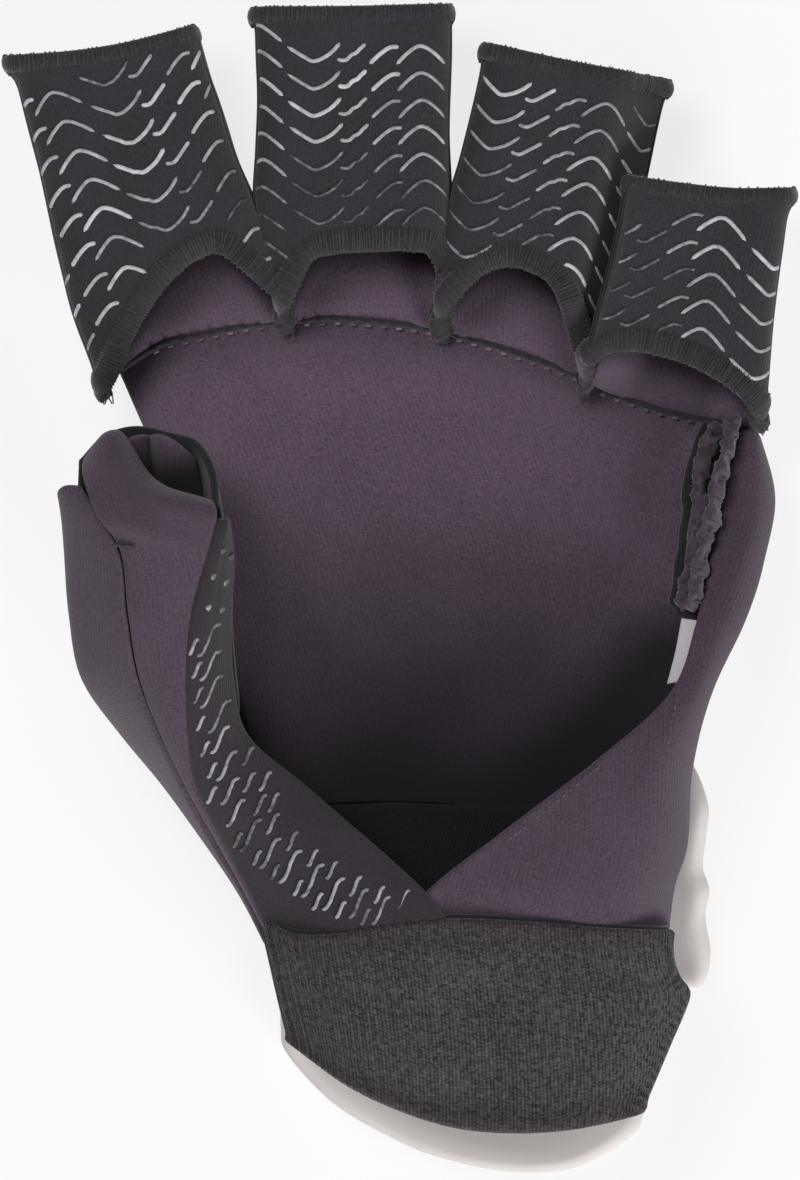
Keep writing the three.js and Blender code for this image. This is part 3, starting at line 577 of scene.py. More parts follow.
PRINT_DASHES = (
    ((0, 0), (1.5, 1.5), (3.2, 2.65), (4.5, 2.5), (6.1, 1.4), (7.8, -0.1)),
    ((8.6, -0.85), (11.2, -2.6), (12.6, -3.3), (14.2, -2.8), (15.6, -1.9), (16.9, -0.6)),
    ((16.2, -3.1), (17.6, -3.2), (19.2, -2), (20.7, -0.8)),
    ((21.4, 0.2), (23, 1.6), (24.6, 2.6), (26, 2.65)),
)
PRINT_WIDTH = 0.7
PRINT_HEIGHT = 0.3
PRINT_LIFT = 0.05
PRINT_PAST_MOUTH = 9.0
PRINT_TIP_GAP = 2.8
PRINT_MOUTH_GAP = 2.4
PRINT_SIDE_GAP = 0.4
TIP_HEM = (2.8, 1.6)
TIP_HEM_TURN = (-98, 278)
TIP_WINDING = 0.75
MOUTH_HEM = (3.9, 2.1)
MOUTH_HEM_UP = 0.9
MOUTH_WINDING = 0.5
THREAD = 0.22
FINE_WALE = 0.6

grip_cloth = knit_finish("grip_cloth", GRIP_LIGHT, GRIP_DARK, FINE_WALE)
draw = np.random.default_rng(7)


def rounded(angle, half_width, half_height, squareness):
    """Point of a tube's section, whose corners are fuller the lower the squareness."""
    side, up = np.cos(angle), np.sin(angle)
    x = half_width * np.sign(side) * np.abs(side) ** squareness
    return x, half_height * np.sign(up) * np.abs(up) ** squareness


def stall_point(stall, angle, y):
    """Point on the outside of a stall at an angle round it, in degrees, and a distance from the knuckle."""
    angle, y = np.broadcast_arrays(np.asarray(angle, float), np.asarray(y, float))
    turn = np.radians(angle)
    left, right = (spline(stall[side], y / PROFILE_LENGTH) for side in ("left", "right"))
    half = np.where(np.cos(turn) < 0, left, right)
    half = half + TIP_FLARE * hump(y - stall["length"], TIP_FLARE_REACH)
    x, z = rounded(turn, half, STALL_HALF_HEIGHT, STALL_SQUARENESS)
    side, share, towards = stall["pressed"]
    press = share * smooth((side * x / half - PRESS_FROM) / (1 - PRESS_FROM))
    press = press * smooth((y - PRESS_START) / PRESS_RISE)
    z = towards * STALL_HALF_HEIGHT - (towards * STALL_HALF_HEIGHT - z) * (1 - press)
    sag = SAG * smooth(z / SAG_RISE) * np.cos(np.pi / 2 * np.clip(x / half, -1, 1)) ** 2
    return np.stack([x, y, STALL_MIDDLE + z - sag], -1)


def tip_of(stall, angle):
    share = np.cos(np.radians(angle))
    share = np.sign(share) * np.abs(share) ** STALL_SQUARENESS
    return stall["length"] - stall["skew"] * share / 2 - stall["dip"] * (1 - share * share)


def mouth_of(stall, angle):
    side, up = np.cos(np.radians(angle)), np.sin(np.radians(angle))
    share = np.sign(side) * np.where(up > 0, np.abs(side) ** STALL_SQUARENESS, 1 - MOUTH_WRAP * up)
    return spline(stall["mouth"], (share / MOUTH_REACH + 1) / 2)


def seam_of(finger, angle):
    """Where the knuckle seam crosses a stall's back, as a distance along the stall."""
    x = stall_point(STALLS[finger], angle, 0.0)[..., 0]
    fan = np.radians(HANGING[finger])
    y = np.zeros_like(x)
    for _ in range(3):
        across = knuckles[finger][0] + x * np.cos(fan) - y * np.sin(fan)
        y = (np.interp(across, *seam_line.T) - knuckles[finger][1] - x * np.sin(fan)) / np.cos(fan)
    return y


def stall_face(finger, start_angle, end_angle, start_of):
    """Outside of a stall between two angles, from where start_of(angle) says to the tip hem."""
    stall = STALLS[finger]

    def face(u, v):
        angle = blend_of(start_angle, end_angle, u)
        y = blend_of(start_of(angle), tip_of(stall, angle) - TIP_INSET, v)
        return turned(finger, stall_point(stall, angle, y))

    return face


def bead(path, out, width, height, sides=7):
    """A thread, fold or bead of silicone along a path, with round ends; its height points along out."""
    path, out = np.asarray(path, float), np.asarray(out, float)
    width, height = (np.broadcast_to(size, len(path))[:, None] / 2 for size in (width, height))
    ahead = np.gradient(path, axis=0)
    beside = unit(np.cross(ahead, out))
    up = unit(np.cross(beside, ahead))
    walked = lengths_along(path)
    to_end = np.minimum(walked, walked[-1] - walked)[:, None] / width
    full = np.maximum(np.sqrt(1 - (1 - np.clip(to_end, 0, 1)) ** 2), 0.12)
    angle = np.arange(sides) * 2 * np.pi / sides
    wide, high = np.cos(angle) * width * full, np.sin(angle) * height * full
    return tube(path[:, None] + beside[:, None] * wide[..., None] + up[:, None] * high[..., None])


def joined(name, parts, tones):
    """One mesh piece of many beads; each bead's tone goes with its points."""
    points, faces, worn, start = [], [], [], 0
    for (part, part_faces), tone in zip(parts, tones):
        points.append(part)
        faces += [[corner + start for corner in face] for face in part_faces]
        worn.append(np.full(len(part), tone))
        start += len(part)
    points = np.concatenate(points)
    return mesh_piece(name, points, faces, lay=points, tone=np.concatenate(worn))


def thread_finish(name, light, dark, grain_size=0.7, roughness=0.9, sheen=0.3):
    """Sewing thread or printed silicone: each stitch or dash has its own tone between two colours."""
    material, shade = new_finish(name)
    tone = attribute(shade, "tone", "Fac")
    grain = noise(attribute(shade, "lay", "Vector"), grain_size, 5.0, 0.7)
    close_finish(shade, {
        "Base Color": mixed(tone + (grain - 0.5) * 1.6, dye(*dark), dye(*light)),
        "Roughness": roughness, "Normal": bumped(grain, 0.5, 0.12),
        "Specular IOR Level": 0.3, "Sheen Weight": sheen,
    })
    return material


silicone = thread_finish("grip_silicone", (208, 204, 210), (58, 54, 62), roughness=0.45, sheen=0.0)
hem_thread = thread_finish("hem_thread", (72, 67, 74), (24, 21, 26), grain_size=2.2)


def at_lengths(lengths, walked, field):
    """Values of a field of points at some lengths along their path."""
    return np.stack([np.interp(lengths, walked, values) for values in field.T], -1)


def overlock(path, out, width, thickness, pitch):
    """Thread wound round an edge that runs along path: about one winding every pitch mm, not quite even."""
    walked = lengths_along(path)
    ahead_of_path = np.gradient(path, axis=0)
    count = max(int(walked[-1] / pitch), 2)
    angle = np.linspace(-np.pi, np.pi, 11)
    parts = []
    for number in range(count):
        slant = draw.uniform(-0.5, 1.5) * np.linspace(-0.5, 0.5, 11)
        at = np.clip((number + 0.5 + slant + draw.uniform(-0.3, 0.3)) / count, 0, 1) * walked[-1]
        centre, normal, ahead = (at_lengths(at, walked, field) for field in (path, out, ahead_of_path))
        side = unit(np.cross(normal, ahead))
        wide = (width + THREAD * draw.uniform(-0.4, 2.0)) / 2
        high = (thickness + THREAD * draw.uniform(0.1, 1.0)) / 2
        wrap = side * (np.sin(angle) * wide)[:, None] + normal * (np.cos(angle) * high)[:, None]
        parts.append(bead(centre + wrap, wrap, THREAD, THREAD, sides=5))
    return parts


def bound_edge(name, path, out, size, pitch, *nodes):
    """A rolled hem along an edge: a band of cloth with overlock thread wound round it, as two pieces."""
    band = joined(f"{name}_band", [bead(path, out, *size, sides=12)], [0.25])
    threads = overlock(path, out, *size, pitch)
    thread = joined(f"{name}_overlock", threads, draw.uniform(0.1, 0.5, len(threads)))
    return dress(band, hem_thread, "seam_thread", *nodes), dress(thread, hem_thread, "seam_thread")


def stall_edge(finger, angles, y):
    """Path along an edge of a stall, in the middle of its wall, with the way out of the stall."""
    local = stall_point(STALLS[finger], angles, y)
    out = unit((local - [0, 0, STALL_MIDDLE]) * [0.12, 0, 1])
    path = turned(finger, local - out * STALL_WALL / 2)
    return path, turned(finger, out) - knuckles[finger]


def printed_dashes(finger):
    """Dashes of one stall's print, their places across measured along the cloth, with each one's tone."""
    stall = STALLS[finger]
    first_x, first_y, pitch, lean = stall["print"]
    around = np.linspace(180 - SEAM_ANGLE, SEAM_ANGLE, 200)
    dashes, tones = [], []
    for row in range(int((first_y + PRINT_PAST_MOUTH) / pitch)):
        row_y = first_y - row * pitch
        section = stall_point(stall, around, np.clip(row_y, 0, PROFILE_LENGTH))
        walked = lengths_along(section)
        walked -= np.interp(0, section[:, 0], walked)
        for repeat in (-1, 0, 1):
            for dash in PRINT_DASHES:
                across, y = curve(dash, 22).T
                across = across + first_x + row * lean + repeat * PRINT_PERIOD + draw.uniform(-0.15, 0.15)
                y = y + row_y + draw.uniform(-0.12, 0.12)
                angle = np.interp(across, walked, around)
                below_tip = y < tip_of(stall, angle) - PRINT_TIP_GAP
                kept = (across > walked[0] + PRINT_SIDE_GAP) & (across < walked[-1] - PRINT_SIDE_GAP)
                kept &= below_tip & (y > mouth_of(stall, angle) + PRINT_MOUTH_GAP)
                if below_tip.mean() < 0.8 or kept.sum() < 7:
                    continue
                angle, y = angle[kept], y[kept]
                beyond = stall_point(stall, angle - 1, y) - stall_point(stall, angle + 1, y)
                out = turned(finger, unit(np.cross(beyond, [0, 1, 0]))) - knuckles[finger]
                local = stall_point(stall, angle, y)
                path = turned(finger, local)
                path = path + out * (PRINT_LIFT + STALL_RUMPLE * ripple(path, STALL_WAVE))[:, None]
                place = local.mean(0)
                worn = sum(
                    np.exp(-((place[0] - spot_x) ** 2 + (place[1] - spot_y) ** 2) / reach**2)
                    for spot_x, spot_y, reach in stall["worn"]
                )
                tone = np.clip(draw.uniform(0.5, 0.95) - 0.7 * worn, 0.06, 1.0)
                dashes.append(bead(path, out, PRINT_WIDTH * blend_of(0.6, 1.05, tone), PRINT_HEIGHT))
                tones.append(tone)
    return dashes, tones


LINING_HEIGHT = 1.3
LINING_TUCK = 1.0
LINING_TUCK_REACH = 1.6
PAD_START = 3.2
PAD_TIP_GAP = 4.4
PAD_SPLIT = 0.46
PAD_HALF_GAP = 1.2
PAD_FLOOR = -9.9
PAD_TOP = -1.0
PAD_EDGE = 1.6
PAD_CORNER = 4.0


def stall_lining_top(u, v):
    """The lining of a stall thins towards the knuckle seam."""
    return LINING_HEIGHT - LINING_TUCK * hump(v * PROFILE_LENGTH, LINING_TUCK_REACH) + 0 * u


for finger, stall in STALLS.items():
    pivot = knuckles[finger]
    ahead = turned(finger, (0, 1, 0)) - pivot
    spans = {
        "grip_panel": (180 - SEAM_ANGLE, SEAM_ANGLE, 46),
        "thumb_side_gusset": (180 - LOW_ANGLE, 180 - SEAM_ANGLE, 16),
        "little_side_gusset": (SEAM_ANGLE, LOW_ANGLE, 16),
    }
    for node, (start, end, columns) in spans.items():
        face = stall_face(finger, start, end, lambda angle: mouth_of(stall, angle))
        piece = panel(f"{finger}_{node}_cloth", face, columns, 44, 0.0, -STALL_WALL, STALL_RUMPLE, STALL_WAVE)
        dress(piece, grip_cloth, "grip_fabric" if node == "grip_panel" else "gusset_knit", f"{finger}_{node}")
        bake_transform(piece)

    back_face = stall_face(finger, 180 - LOW_ANGLE, 360 + LOW_ANGLE, lambda angle: seam_of(finger, angle))
    back = panel(f"{finger}_lining_cloth", back_face, 36, 50, stall_lining_top, 0.0, rumple=0.15, wave=17.0)
    # Painted shadow on the finger lining: it darkens towards the mouth's edge and stays dark inside the
    # stall.
    out_of_pivot = spots_of(back) - pivot
    along = out_of_pivot @ ahead
    across = out_of_pivot[:, 0] * ahead[1] - out_of_pivot[:, 1] * ahead[0]
    edge = spline(stall["mouth"], (across / stall["left"][0] / MOUTH_REACH + 1) / 2)
    set_unshaded(back, blend_of(0.1, 1, smooth((edge + ARCH_SHADE_LEAD - along) / ARCH_SHADE_BAND)))
    dress(back, shaded_lining_knit, "palm_knit", f"{finger}_back_panel")
    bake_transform(back)

    dashes, tones = printed_dashes(finger)
    prints = joined(f"{finger}_grip_print", dashes, tones)
    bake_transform(dress(prints, silicone, "grip_fabric"))

    around = np.linspace(*TIP_HEM_TURN, 150)
    path, out = stall_edge(finger, around, tip_of(stall, around) - TIP_HEM[0] / 2)
    for piece in bound_edge(f"{finger}_tip", path, out, TIP_HEM, TIP_WINDING, f"{finger}_tip_hem"):
        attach(piece, finger)
    over = np.linspace(180 - LOW_ANGLE, LOW_ANGLE, 120)
    path, out = stall_edge(finger, over, mouth_of(stall, over) + MOUTH_HEM_UP)
    for piece in bound_edge(f"{finger}_mouth", path, out, MOUTH_HEM, MOUTH_WINDING, f"{finger}_palm_hem"):
        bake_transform(piece)

    pad_end = stall["length"] - PAD_TIP_GAP
    split = blend_of(PAD_START, pad_end, PAD_SPLIT)
    pads = {"near_pad": (PAD_START, split - PAD_HALF_GAP), "far_pad": (split + PAD_HALF_GAP, pad_end)}
    for node, (start, end) in pads.items():
        turn = np.radians(np.arange(0, 360, 360 / 48) + 360 / 96)
        centre = np.array([sum(stall["pad"]) / 2, (start + end) / 2])
        reach = np.array([(stall["pad"][1] - stall["pad"][0]) / 2, (end - start) / 2]) - PAD_CORNER
        direction = np.stack([np.cos(turn), np.sin(turn)], -1)
        outline = centre + np.sign(direction) * reach + direction * PAD_CORNER
        pad_points, pad_faces = foam_block(outline, PAD_FLOOR, PAD_TOP, PAD_EDGE)
        pad = mesh_piece(f"{finger}_{node}_foam", turned(finger, pad_points), pad_faces, lay=pad_points)
        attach(dress(pad, guard_foam, "eva_foam", f"{finger}_{node}"), finger)


# Knuckle seam: the finger linings and the hand lining meet in one curved seam across the knuckles.
# The seam draws the cloth down into a crease, and short lockstitches show in it as a row of dots.
STITCH_PITCH = 2.4
STITCH_SPAN = 0.95
STITCH_ENDS = (7.0, 3.0)
STITCH_BACK = 0.75
STITCH_UP = 0.62
STITCH_CROWN = 0.25
STITCH_SIZE = (0.5, 0.45)
SEAM_DEPTH = 0.75
SEAM_CORD = (1.0, 0.7)
UPRIGHT = (0.0, 0.0, 1.0)
seam_thread = thread_finish("seam_thread", (116, 106, 118), (36, 31, 39), roughness=0.8)
seam_walked = lengths_along(seam_line)
seam_path = np.column_stack([seam_line, np.full(len(seam_line), LINING_TOP - SEAM_DEPTH)])
knots = [bead(seam_path, UPRIGHT, *SEAM_CORD)]
for middle in np.arange(STITCH_ENDS[0], seam_walked[-1] - STITCH_ENDS[1], STITCH_PITCH):
    stitch = at_lengths(middle + np.linspace(-0.5, 0.5, 7) * STITCH_SPAN, seam_walked, seam_path)
    stitch[:, 1] -= STITCH_BACK
    stitch[:, 2] += STITCH_UP + STITCH_CROWN * np.cos(np.linspace(-1.4, 1.4, 7))
    knots.append(bead(stitch, UPRIGHT, *STITCH_SIZE))
tones = np.concatenate([[-0.6], draw.uniform(0.3, 0.9, len(knots) - 1)])
knuckle_seam = joined("knuckle_seam_stitches", knots, tones)
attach(dress(knuckle_seam, seam_thread, "seam_thread", "knuckle_seam"), "hand")


# Cuff: a wide tube of ribbed dark elastic, sewn to the palm pieces and to the lining, open at the wrist.
# Its upper edge dips under the thumb base, and its lower edge is cut on a slant with a narrow turned hem.
CUFF_TOP_Y = -52.6
CUFF_LENGTH = 31.0
CUFF_MIDDLE = 19.3
CUFF_HALF = 32.2
CUFF_HALF_HEIGHT = 10.0
CUFF_WALL = 1.8
CUFF_SQUARENESS = 0.7
CUFF_DRIFT = 1.2
CUFF_TAPER = 6.8
CUFF_LAP = 6.0
BACK_RISE_FROM = 0.5
BACK_RISE_REACH = 0.35
BACK_GAP = 0.3
CUFF_TOP = [
    (-21.5, -50.8), (-17, -52.9), (-10, -52.9), (-1, -51.2), (8, -50.5), (22, -51.1), (32, -52),
    (42.5, -52.6),
]
CUFF_BOTTOM = [(-18, -69.8), (-9, -76.2), (0, -80.4), (9, -83.0), (18, -83.7), (27, -83.2), (37, -81.6)]
CUFF_EDGE = [
    (36.4, -84), (39.4, -76.6), (41.9, -70.4), (44.2, -65), (44.9, -62.2), (43.4, -60.2), (42.3, -57),
    (42.2, -52),
]
CUFF_GIRTH = 98.0
CUFF_DEPTH = 30.0
RIB = 1.7
RIB_HEIGHT = 0.12
TOP_WELT = 0.5
TOP_WELT_REACH = 1.1
HEM_WELT = 0.4
HEM_WELT_UP = 1.4
HEM_WELT_REACH = 1.0
CHAIN_WIDTH = 0.58
CHAIN_STITCH = 0.55
EDGE_TINT_REACH = 6.0
DITCH_UP = 0.25
DITCH_INSET = 0.9
DITCH_CORD = (0.8, 0.9)


def elastic_finish(name, light, dark, edge, sheen):
    """Ribbed elastic: chains of short light and dark stitches that run down the cuff.
    Within a few mm of the piece's edges its light colour turns towards the edge colour."""
    material, shade = new_finish(name)
    lay = attribute(shade, "lay", "Vector")
    column = axis_of(lay, "X") / CHAIN_WIDTH
    chain_number = shade.maths("FLOOR", column)
    slip = shade.node("ShaderNodeTexWhiteNoise", {"noise_dimensions": "1D"}, {"W": chain_number}, "Value")
    row = axis_of(lay, "Y") / CHAIN_STITCH + slip
    chain = 1 - shade.maths("ABSOLUTE", shade.maths("FRACT", column) - 0.5) * 2
    bar = shade.maths("COSINE", row * (2 * np.pi)) * 0.5 + 0.5
    cell = shade.node("ShaderNodeCombineXYZ", {}, {0: chain_number, 1: shade.maths("FLOOR", row)})
    chance = shade.node("ShaderNodeTexWhiteNoise", {"noise_dimensions": "3D"}, {"Vector": cell}, "Value")
    yarn = noise(lay, 1.5, 4.0, 0.7)
    cloud = noise(lay, 0.1)
    stitch = chain * (bar * 0.55 + 0.45)
    tone = stitch * 0.6 + chance * 0.3 + (yarn - 0.5) * 1.9 + (cloud - 0.5) * 0.3
    pale = mixed(axis_of(lay, "Z") / EDGE_TINT_REACH, dye(*edge), dye(*light))
    close_finish(shade, {
        "Base Color": mixed(tone, dye(*dark), pale), "Roughness": 0.9, "Specular IOR Level": 0.25,
        "Normal": bumped(stitch + chance * 0.3 + (yarn - 0.5) * 0.8, 0.7, 0.2),
        "Sheen Weight": sheen, "Sheen Roughness": 0.5,
    })
    return material


cuff_side = curve(CUFF_EDGE, 120)


def cuff_point(angle, y, inward=0.0):
    """Outside of the cuff; its little-finger edge bulges below the guard's wing."""
    turn = np.radians(angle)
    down = np.maximum((CUFF_TOP_Y - y) / CUFF_LENGTH, 0)
    centre = WRIST_SHIFT + CUFF_DRIFT * down
    little_side = np.interp(y, *cuff_side.T[::-1]) - centre
    half = np.where(np.cos(turn) < 0, CUFF_HALF - CUFF_TAPER * down, little_side)
    x, z = rounded(turn, half - inward, CUFF_HALF_HEIGHT - inward, CUFF_SQUARENESS)
    return np.stack(np.broadcast_arrays(centre + x, y, CUFF_MIDDLE + z), -1)


def cuff_edge(line, angle):
    """Height of the cuff's upper or lower edge at an angle round it."""
    points = curve(line, 100)
    y = np.full(np.shape(angle), points[:, 1].mean())
    for _ in range(3):
        y = np.interp(cuff_point(angle, y)[..., 0], *points.T)
    return y


def cuff_back_start(angle):
    """The back of the cuff runs up to the lining, but at its sides no further than the front."""
    across = (np.abs(np.sin(np.radians(angle))) - BACK_RISE_FROM) / BACK_RISE_REACH
    return blend_of(CUFF_TOP_Y, LINING_START - BACK_GAP, smooth(across))


cuff_elastic = elastic_finish("cuff_elastic", (97, 93, 95), (17, 16, 17), (82, 70, 78), 0.2)
# A near-black copy of the elastic for the inside of the cuff: painted shade of the deep V at the wrist.
shaded_inner_elastic = elastic_finish("shaded_inner_elastic", (26, 26, 31), (6, 6, 8), (22, 22, 27), 0.0)


def cuff_front_face(u, v):
    angle = blend_of(180 + CUFF_LAP, -CUFF_LAP, u)
    return cuff_point(angle, blend_of(cuff_edge(CUFF_BOTTOM, angle), cuff_edge(CUFF_TOP, angle), v))


def cuff_ribs(u, v):
    ribs = RIB_HEIGHT * np.cos(u * CUFF_GIRTH / RIB * 2 * np.pi)
    top_welt = TOP_WELT * hump((1 - v) * CUFF_DEPTH, TOP_WELT_REACH)
    return ribs + top_welt + HEM_WELT * hump(v * CUFF_DEPTH - HEM_WELT_UP, HEM_WELT_REACH)


cuff_front = panel(
    "cuff_front_elastic", cuff_front_face, 290, 36, cuff_ribs, -CUFF_WALL, rumple=0.25, wave=36.0,
)
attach(dress(cuff_front, cuff_elastic, "cuff_elastic", "cuff_front", "cuff_hem"), "hand")


def cuff_back_face(u, v):
    angle = blend_of(-CUFF_LAP, CUFF_LAP - 180, u)
    return cuff_point(angle, blend_of(cuff_back_start(angle), cuff_edge(CUFF_BOTTOM, angle), v))


cuff_back = panel("cuff_back_elastic", cuff_back_face, 200, 40, CUFF_WALL, 0.0, rumple=0.15)
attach(dress(cuff_back, shaded_inner_elastic, "cuff_elastic", "cuff_back"), "hand")

over_front = np.linspace(180, 0, 90)
ditch_path = cuff_point(over_front, cuff_edge(CUFF_TOP, over_front) + DITCH_UP, DITCH_INSET)
ditch = joined("cuff_seam_cord", [bead(ditch_path, UPRIGHT, *DITCH_CORD)], [-0.5])
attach(dress(ditch, hem_thread, "seam_thread", "cuff_seam"), "hand")


# Thumb: a sleeve that leans out of the palm with a slanted open mouth. Its outer and front knit panels and
# its printed grip strip run on down the thumb base to the cuff, where they are sewn in.
# Each row of points crosses the thumb from its back edge over the outline to the palm edge, wrist first.
THUMB_ROWS = [
    [(-19.2, -54.6, 14.6), (-20.5, -54.9, 18.5), (-20.2, -55.1, 21.3), (-19.4, -55.2, 22.9),
     (-9, -53.3, 28), (7.4, -50.9, 29.4)],
    [(-22.6, -46, 13.8), (-25.4, -46, 18.3), (-24.8, -46, 22), (-23.8, -46, 23.9),
     (-11.5, -46.2, 28.8), (3.9, -46.4, 29.3)],
    [(-24.8, -40, 13), (-29.8, -39, 18.4), (-28.7, -39, 23.2), (-27.5, -39, 25.2),
     (-17.2, -38.8, 29.5), (-4.5, -38.6, 28.9)],
    [(-28.6, -31, 13.2), (-36.3, -30.4, 18.8), (-33.4, -30.4, 27), (-31.6, -30.2, 29),
     (-24.6, -30, 30.5), (-14.9, -29.6, 28.2)],
    [(-32.2, -22.5, 14), (-42.8, -22.2, 20.3), (-37.2, -22.2, 31.2), (-32.6, -22.2, 33.6),
     (-28.6, -22.2, 32.8), (-23.2, -22.2, 28.6)],
    [(-35, -13.5, 16.5), (-48.8, -13.5, 22.8), (-40.4, -13.5, 35.5), (-32.7, -13.5, 38),
     (-28.8, -13.5, 36), (-25.3, -13.5, 30.5)],
    [(-37.4, -4, 19.3), (-50.7, -4, 25.6), (-41.8, -4, 39.2), (-31.6, -4, 41),
     (-28.2, -4, 38.5), (-25.6, -4, 32.3)],
    [(-38.9, 6, 21), (-51.3, 5, 28), (-43, 5.6, 41.2), (-29.3, 4.8, 42.8),
     (-27, 4.6, 40), (-25.2, 4.5, 34)],
    [(-40.4, 18, 23.5), (-51.4, 15, 31), (-48.8, 15.9, 38.5), (-27.7, 10.8, 43),
     (-26.6, 11, 40.3), (-25.8, 11.3, 37)],
]
THUMB_WALL = 1.3
OUTER_LIFT = 0.4
OUTER_END = 0.397
ALLOWANCE_SPAN = (0.36, 0.44, 0.0, 0.9)
STRIP_SPAN = (0.59, 1.0)
OUTER_LIGHT = (93, 77, 93)
OUTER_DARK = (42, 33, 43)
STRIP_LIGHT = (57, 49, 58)
STRIP_DARK = (24, 20, 25)


def net(rows):
    """Smooth surface through rows of points: u runs along a row and v from the first row to the last."""
    rows = np.asarray(rows, float)

    def face(u, v):
        rails = spline(rows, v[:, 0])
        return np.swapaxes(spline(np.swapaxes(rails, 0, 1), u[0]), 0, 1)

    return face


def part_of(face, start, end, first=0.0, last=1.0):
    return lambda u, v: face(blend_of(start, end, u), blend_of(first, last, v))


def bend_thumb(piece):
    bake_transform(piece)


outer_knit = knit_finish("outer_knit", OUTER_LIGHT, OUTER_DARK)
strip_cloth = knit_finish("strip_cloth", STRIP_LIGHT, STRIP_DARK, FINE_WALE)
# A near-black copy of the knit: painted shade in the thumb's hollow and seam gap and along the seam ridge's
# foot.
shaded_sleeve_cloth = knit_finish("shaded_sleeve_cloth", (38, 39, 43), (11, 11, 13), FINE_WALE)
thumb_skin = net(THUMB_ROWS)
outer_face = part_of(thumb_skin, 0.0, OUTER_END)
outer = panel("thumb_outer_cloth", outer_face, 34, 90, OUTER_LIFT, OUTER_LIFT - THUMB_WALL, rumple=0.25)
bend_thumb(dress(outer, outer_knit, "palm_knit", "thumb_outer_panel", "thumb_base_outer_panel"))
allowance = panel("thumb_seam_allowance", part_of(thumb_skin, *ALLOWANCE_SPAN), 10, 90, -1.0, -2.0)
bend_thumb(dress(allowance, shaded_sleeve_cloth, "seam_thread"))
strip_face = part_of(thumb_skin, *STRIP_SPAN)
strip = panel("thumb_strip_cloth", strip_face, 34, 100, 0.0, -THUMB_WALL, rumple=0.2)
bend_thumb(dress(strip, strip_cloth, "grip_fabric", "thumb_base_grip_strip"))

# The front panel narrows to a sliver at the wrist; at the mouth its edge is rolled over into the sleeve.
FRONT_BULGE = 0.09
FRONT_MOUTH = [
    [(-46.8, 11.4, 40.4), (-41.6, 11, 44.2), (-35.6, 8.6, 45), (-28.4, 8.4, 43.2)],
    [(-49.2, 17.6, 36), (-44.8, 22.2, 40), (-38.4, 14.6, 44.2), (-27.7, 11.6, 42.8)],
    [(-48.6, 20.6, 33), (-43.2, 24.6, 35.6), (-37.6, 16.8, 39.4), (-28.2, 13.2, 39.2)],
    [(-46.8, 20.8, 29.6), (-42.2, 22.8, 31), (-37.2, 16.8, 33.6), (-29, 13.2, 34.6)],
]
front_rows = []
for row in THUMB_ROWS[:-1]:
    outer_seam, inner_seam = np.array(row[2]), np.array(row[3])
    bulge = np.array([0, 0, FRONT_BULGE * np.linalg.norm(inner_seam - outer_seam)])
    thirds = [blend_of(outer_seam, inner_seam, share) + bulge for share in (1 / 3, 2 / 3)]
    front_rows.append([outer_seam, *thirds, inner_seam])
front_face = part_of(net(front_rows + FRONT_MOUTH), 0.02, 1.0)
front = panel("thumb_front_cloth", front_face, 36, 110, 0.0, -THUMB_WALL, rumple=0.25, wave=22.0)
bend_thumb(dress(front, outer_knit, "palm_knit", "thumb_front_panel", "thumb_base_front_panel"))

# Palm-side wall of the sleeve, of grip cloth, and its knit back: they close the sleeve behind the mouth.
WALL_ROWS = [
    [(-24.6, -19.4, 28.8), (-25.3, -14.4, 24.5), (-28.8, -12, 20.4), (-32.8, -13.4, 18.8)],
    [(-25.6, -7.8, 31.2), (-26, -6.2, 26), (-29.5, -5, 21.8), (-34, -5.4, 20.6)],
    [(-25.8, 1.6, 33), (-26.4, 3, 28), (-30, 4, 23.6), (-35, 4.2, 22.4)],
    [(-27.6, 12.6, 37.2), (-28.2, 18.8, 33), (-30.6, 23, 28), (-35, 24.4, 25.6)],
]
# Wall and back wear the near-black sleeve cloth, painted shade of the hollow inside the sleeve.
wall = panel("thumb_wall_cloth", net(WALL_ROWS), 24, 44, 0.0, -THUMB_WALL, rumple=0.2)
bend_thumb(dress(wall, shaded_sleeve_cloth, "grip_fabric", "thumb_grip_panel"))
BACK_ROWS = [
    [(-32.2, -13.6, 18.5), (-38, -15, 17.6), (-43, -16.4, 18.5), (-46.4, -16.8, 20.6)],
    [(-33.4, -6, 20.4), (-40, -6.4, 19.8), (-45.6, -7, 21), (-49, -7.6, 23.6)],
    [(-34.4, 4.2, 22.2), (-41, 4.2, 21.6), (-46.4, 3.4, 22.8), (-50, 2, 25.6)],
    [(-34.2, 24.2, 25.5), (-40.6, 25.4, 26.4), (-45.8, 24, 29.6), (-49.6, 20, 33.4)],
]
thumb_back = panel("thumb_back_cloth", net(BACK_ROWS), 30, 44, 0.0, -THUMB_WALL, rumple=0.3, wave=14.0)
bend_thumb(dress(thumb_back, shaded_sleeve_cloth, "palm_knit", "thumb_back_panel"))
HEEL_ROWS = [
    [(-19.7, -54.4, 15.4), (-15.8, -54.2, 12.4), (-10.6, -54, 10.7)],
    [(-25, -40, 13.8), (-23.6, -40, 10.2), (-20.6, -40, 7.4)],
    [(-30.4, -28, 14.4), (-26.8, -28, 11.6), (-22.2, -28, 9.8)],
    [(-36.2, -17, 17), (-30.4, -16.4, 14.8), (-23.2, -15.2, 12.4)],
]
heel = panel("thumb_heel_cloth", net(HEEL_ROWS), 14, 40, 0.0, -THUMB_WALL)
bend_thumb(dress(heel, outer_knit, "palm_knit", "thumb_base_back_panel"))

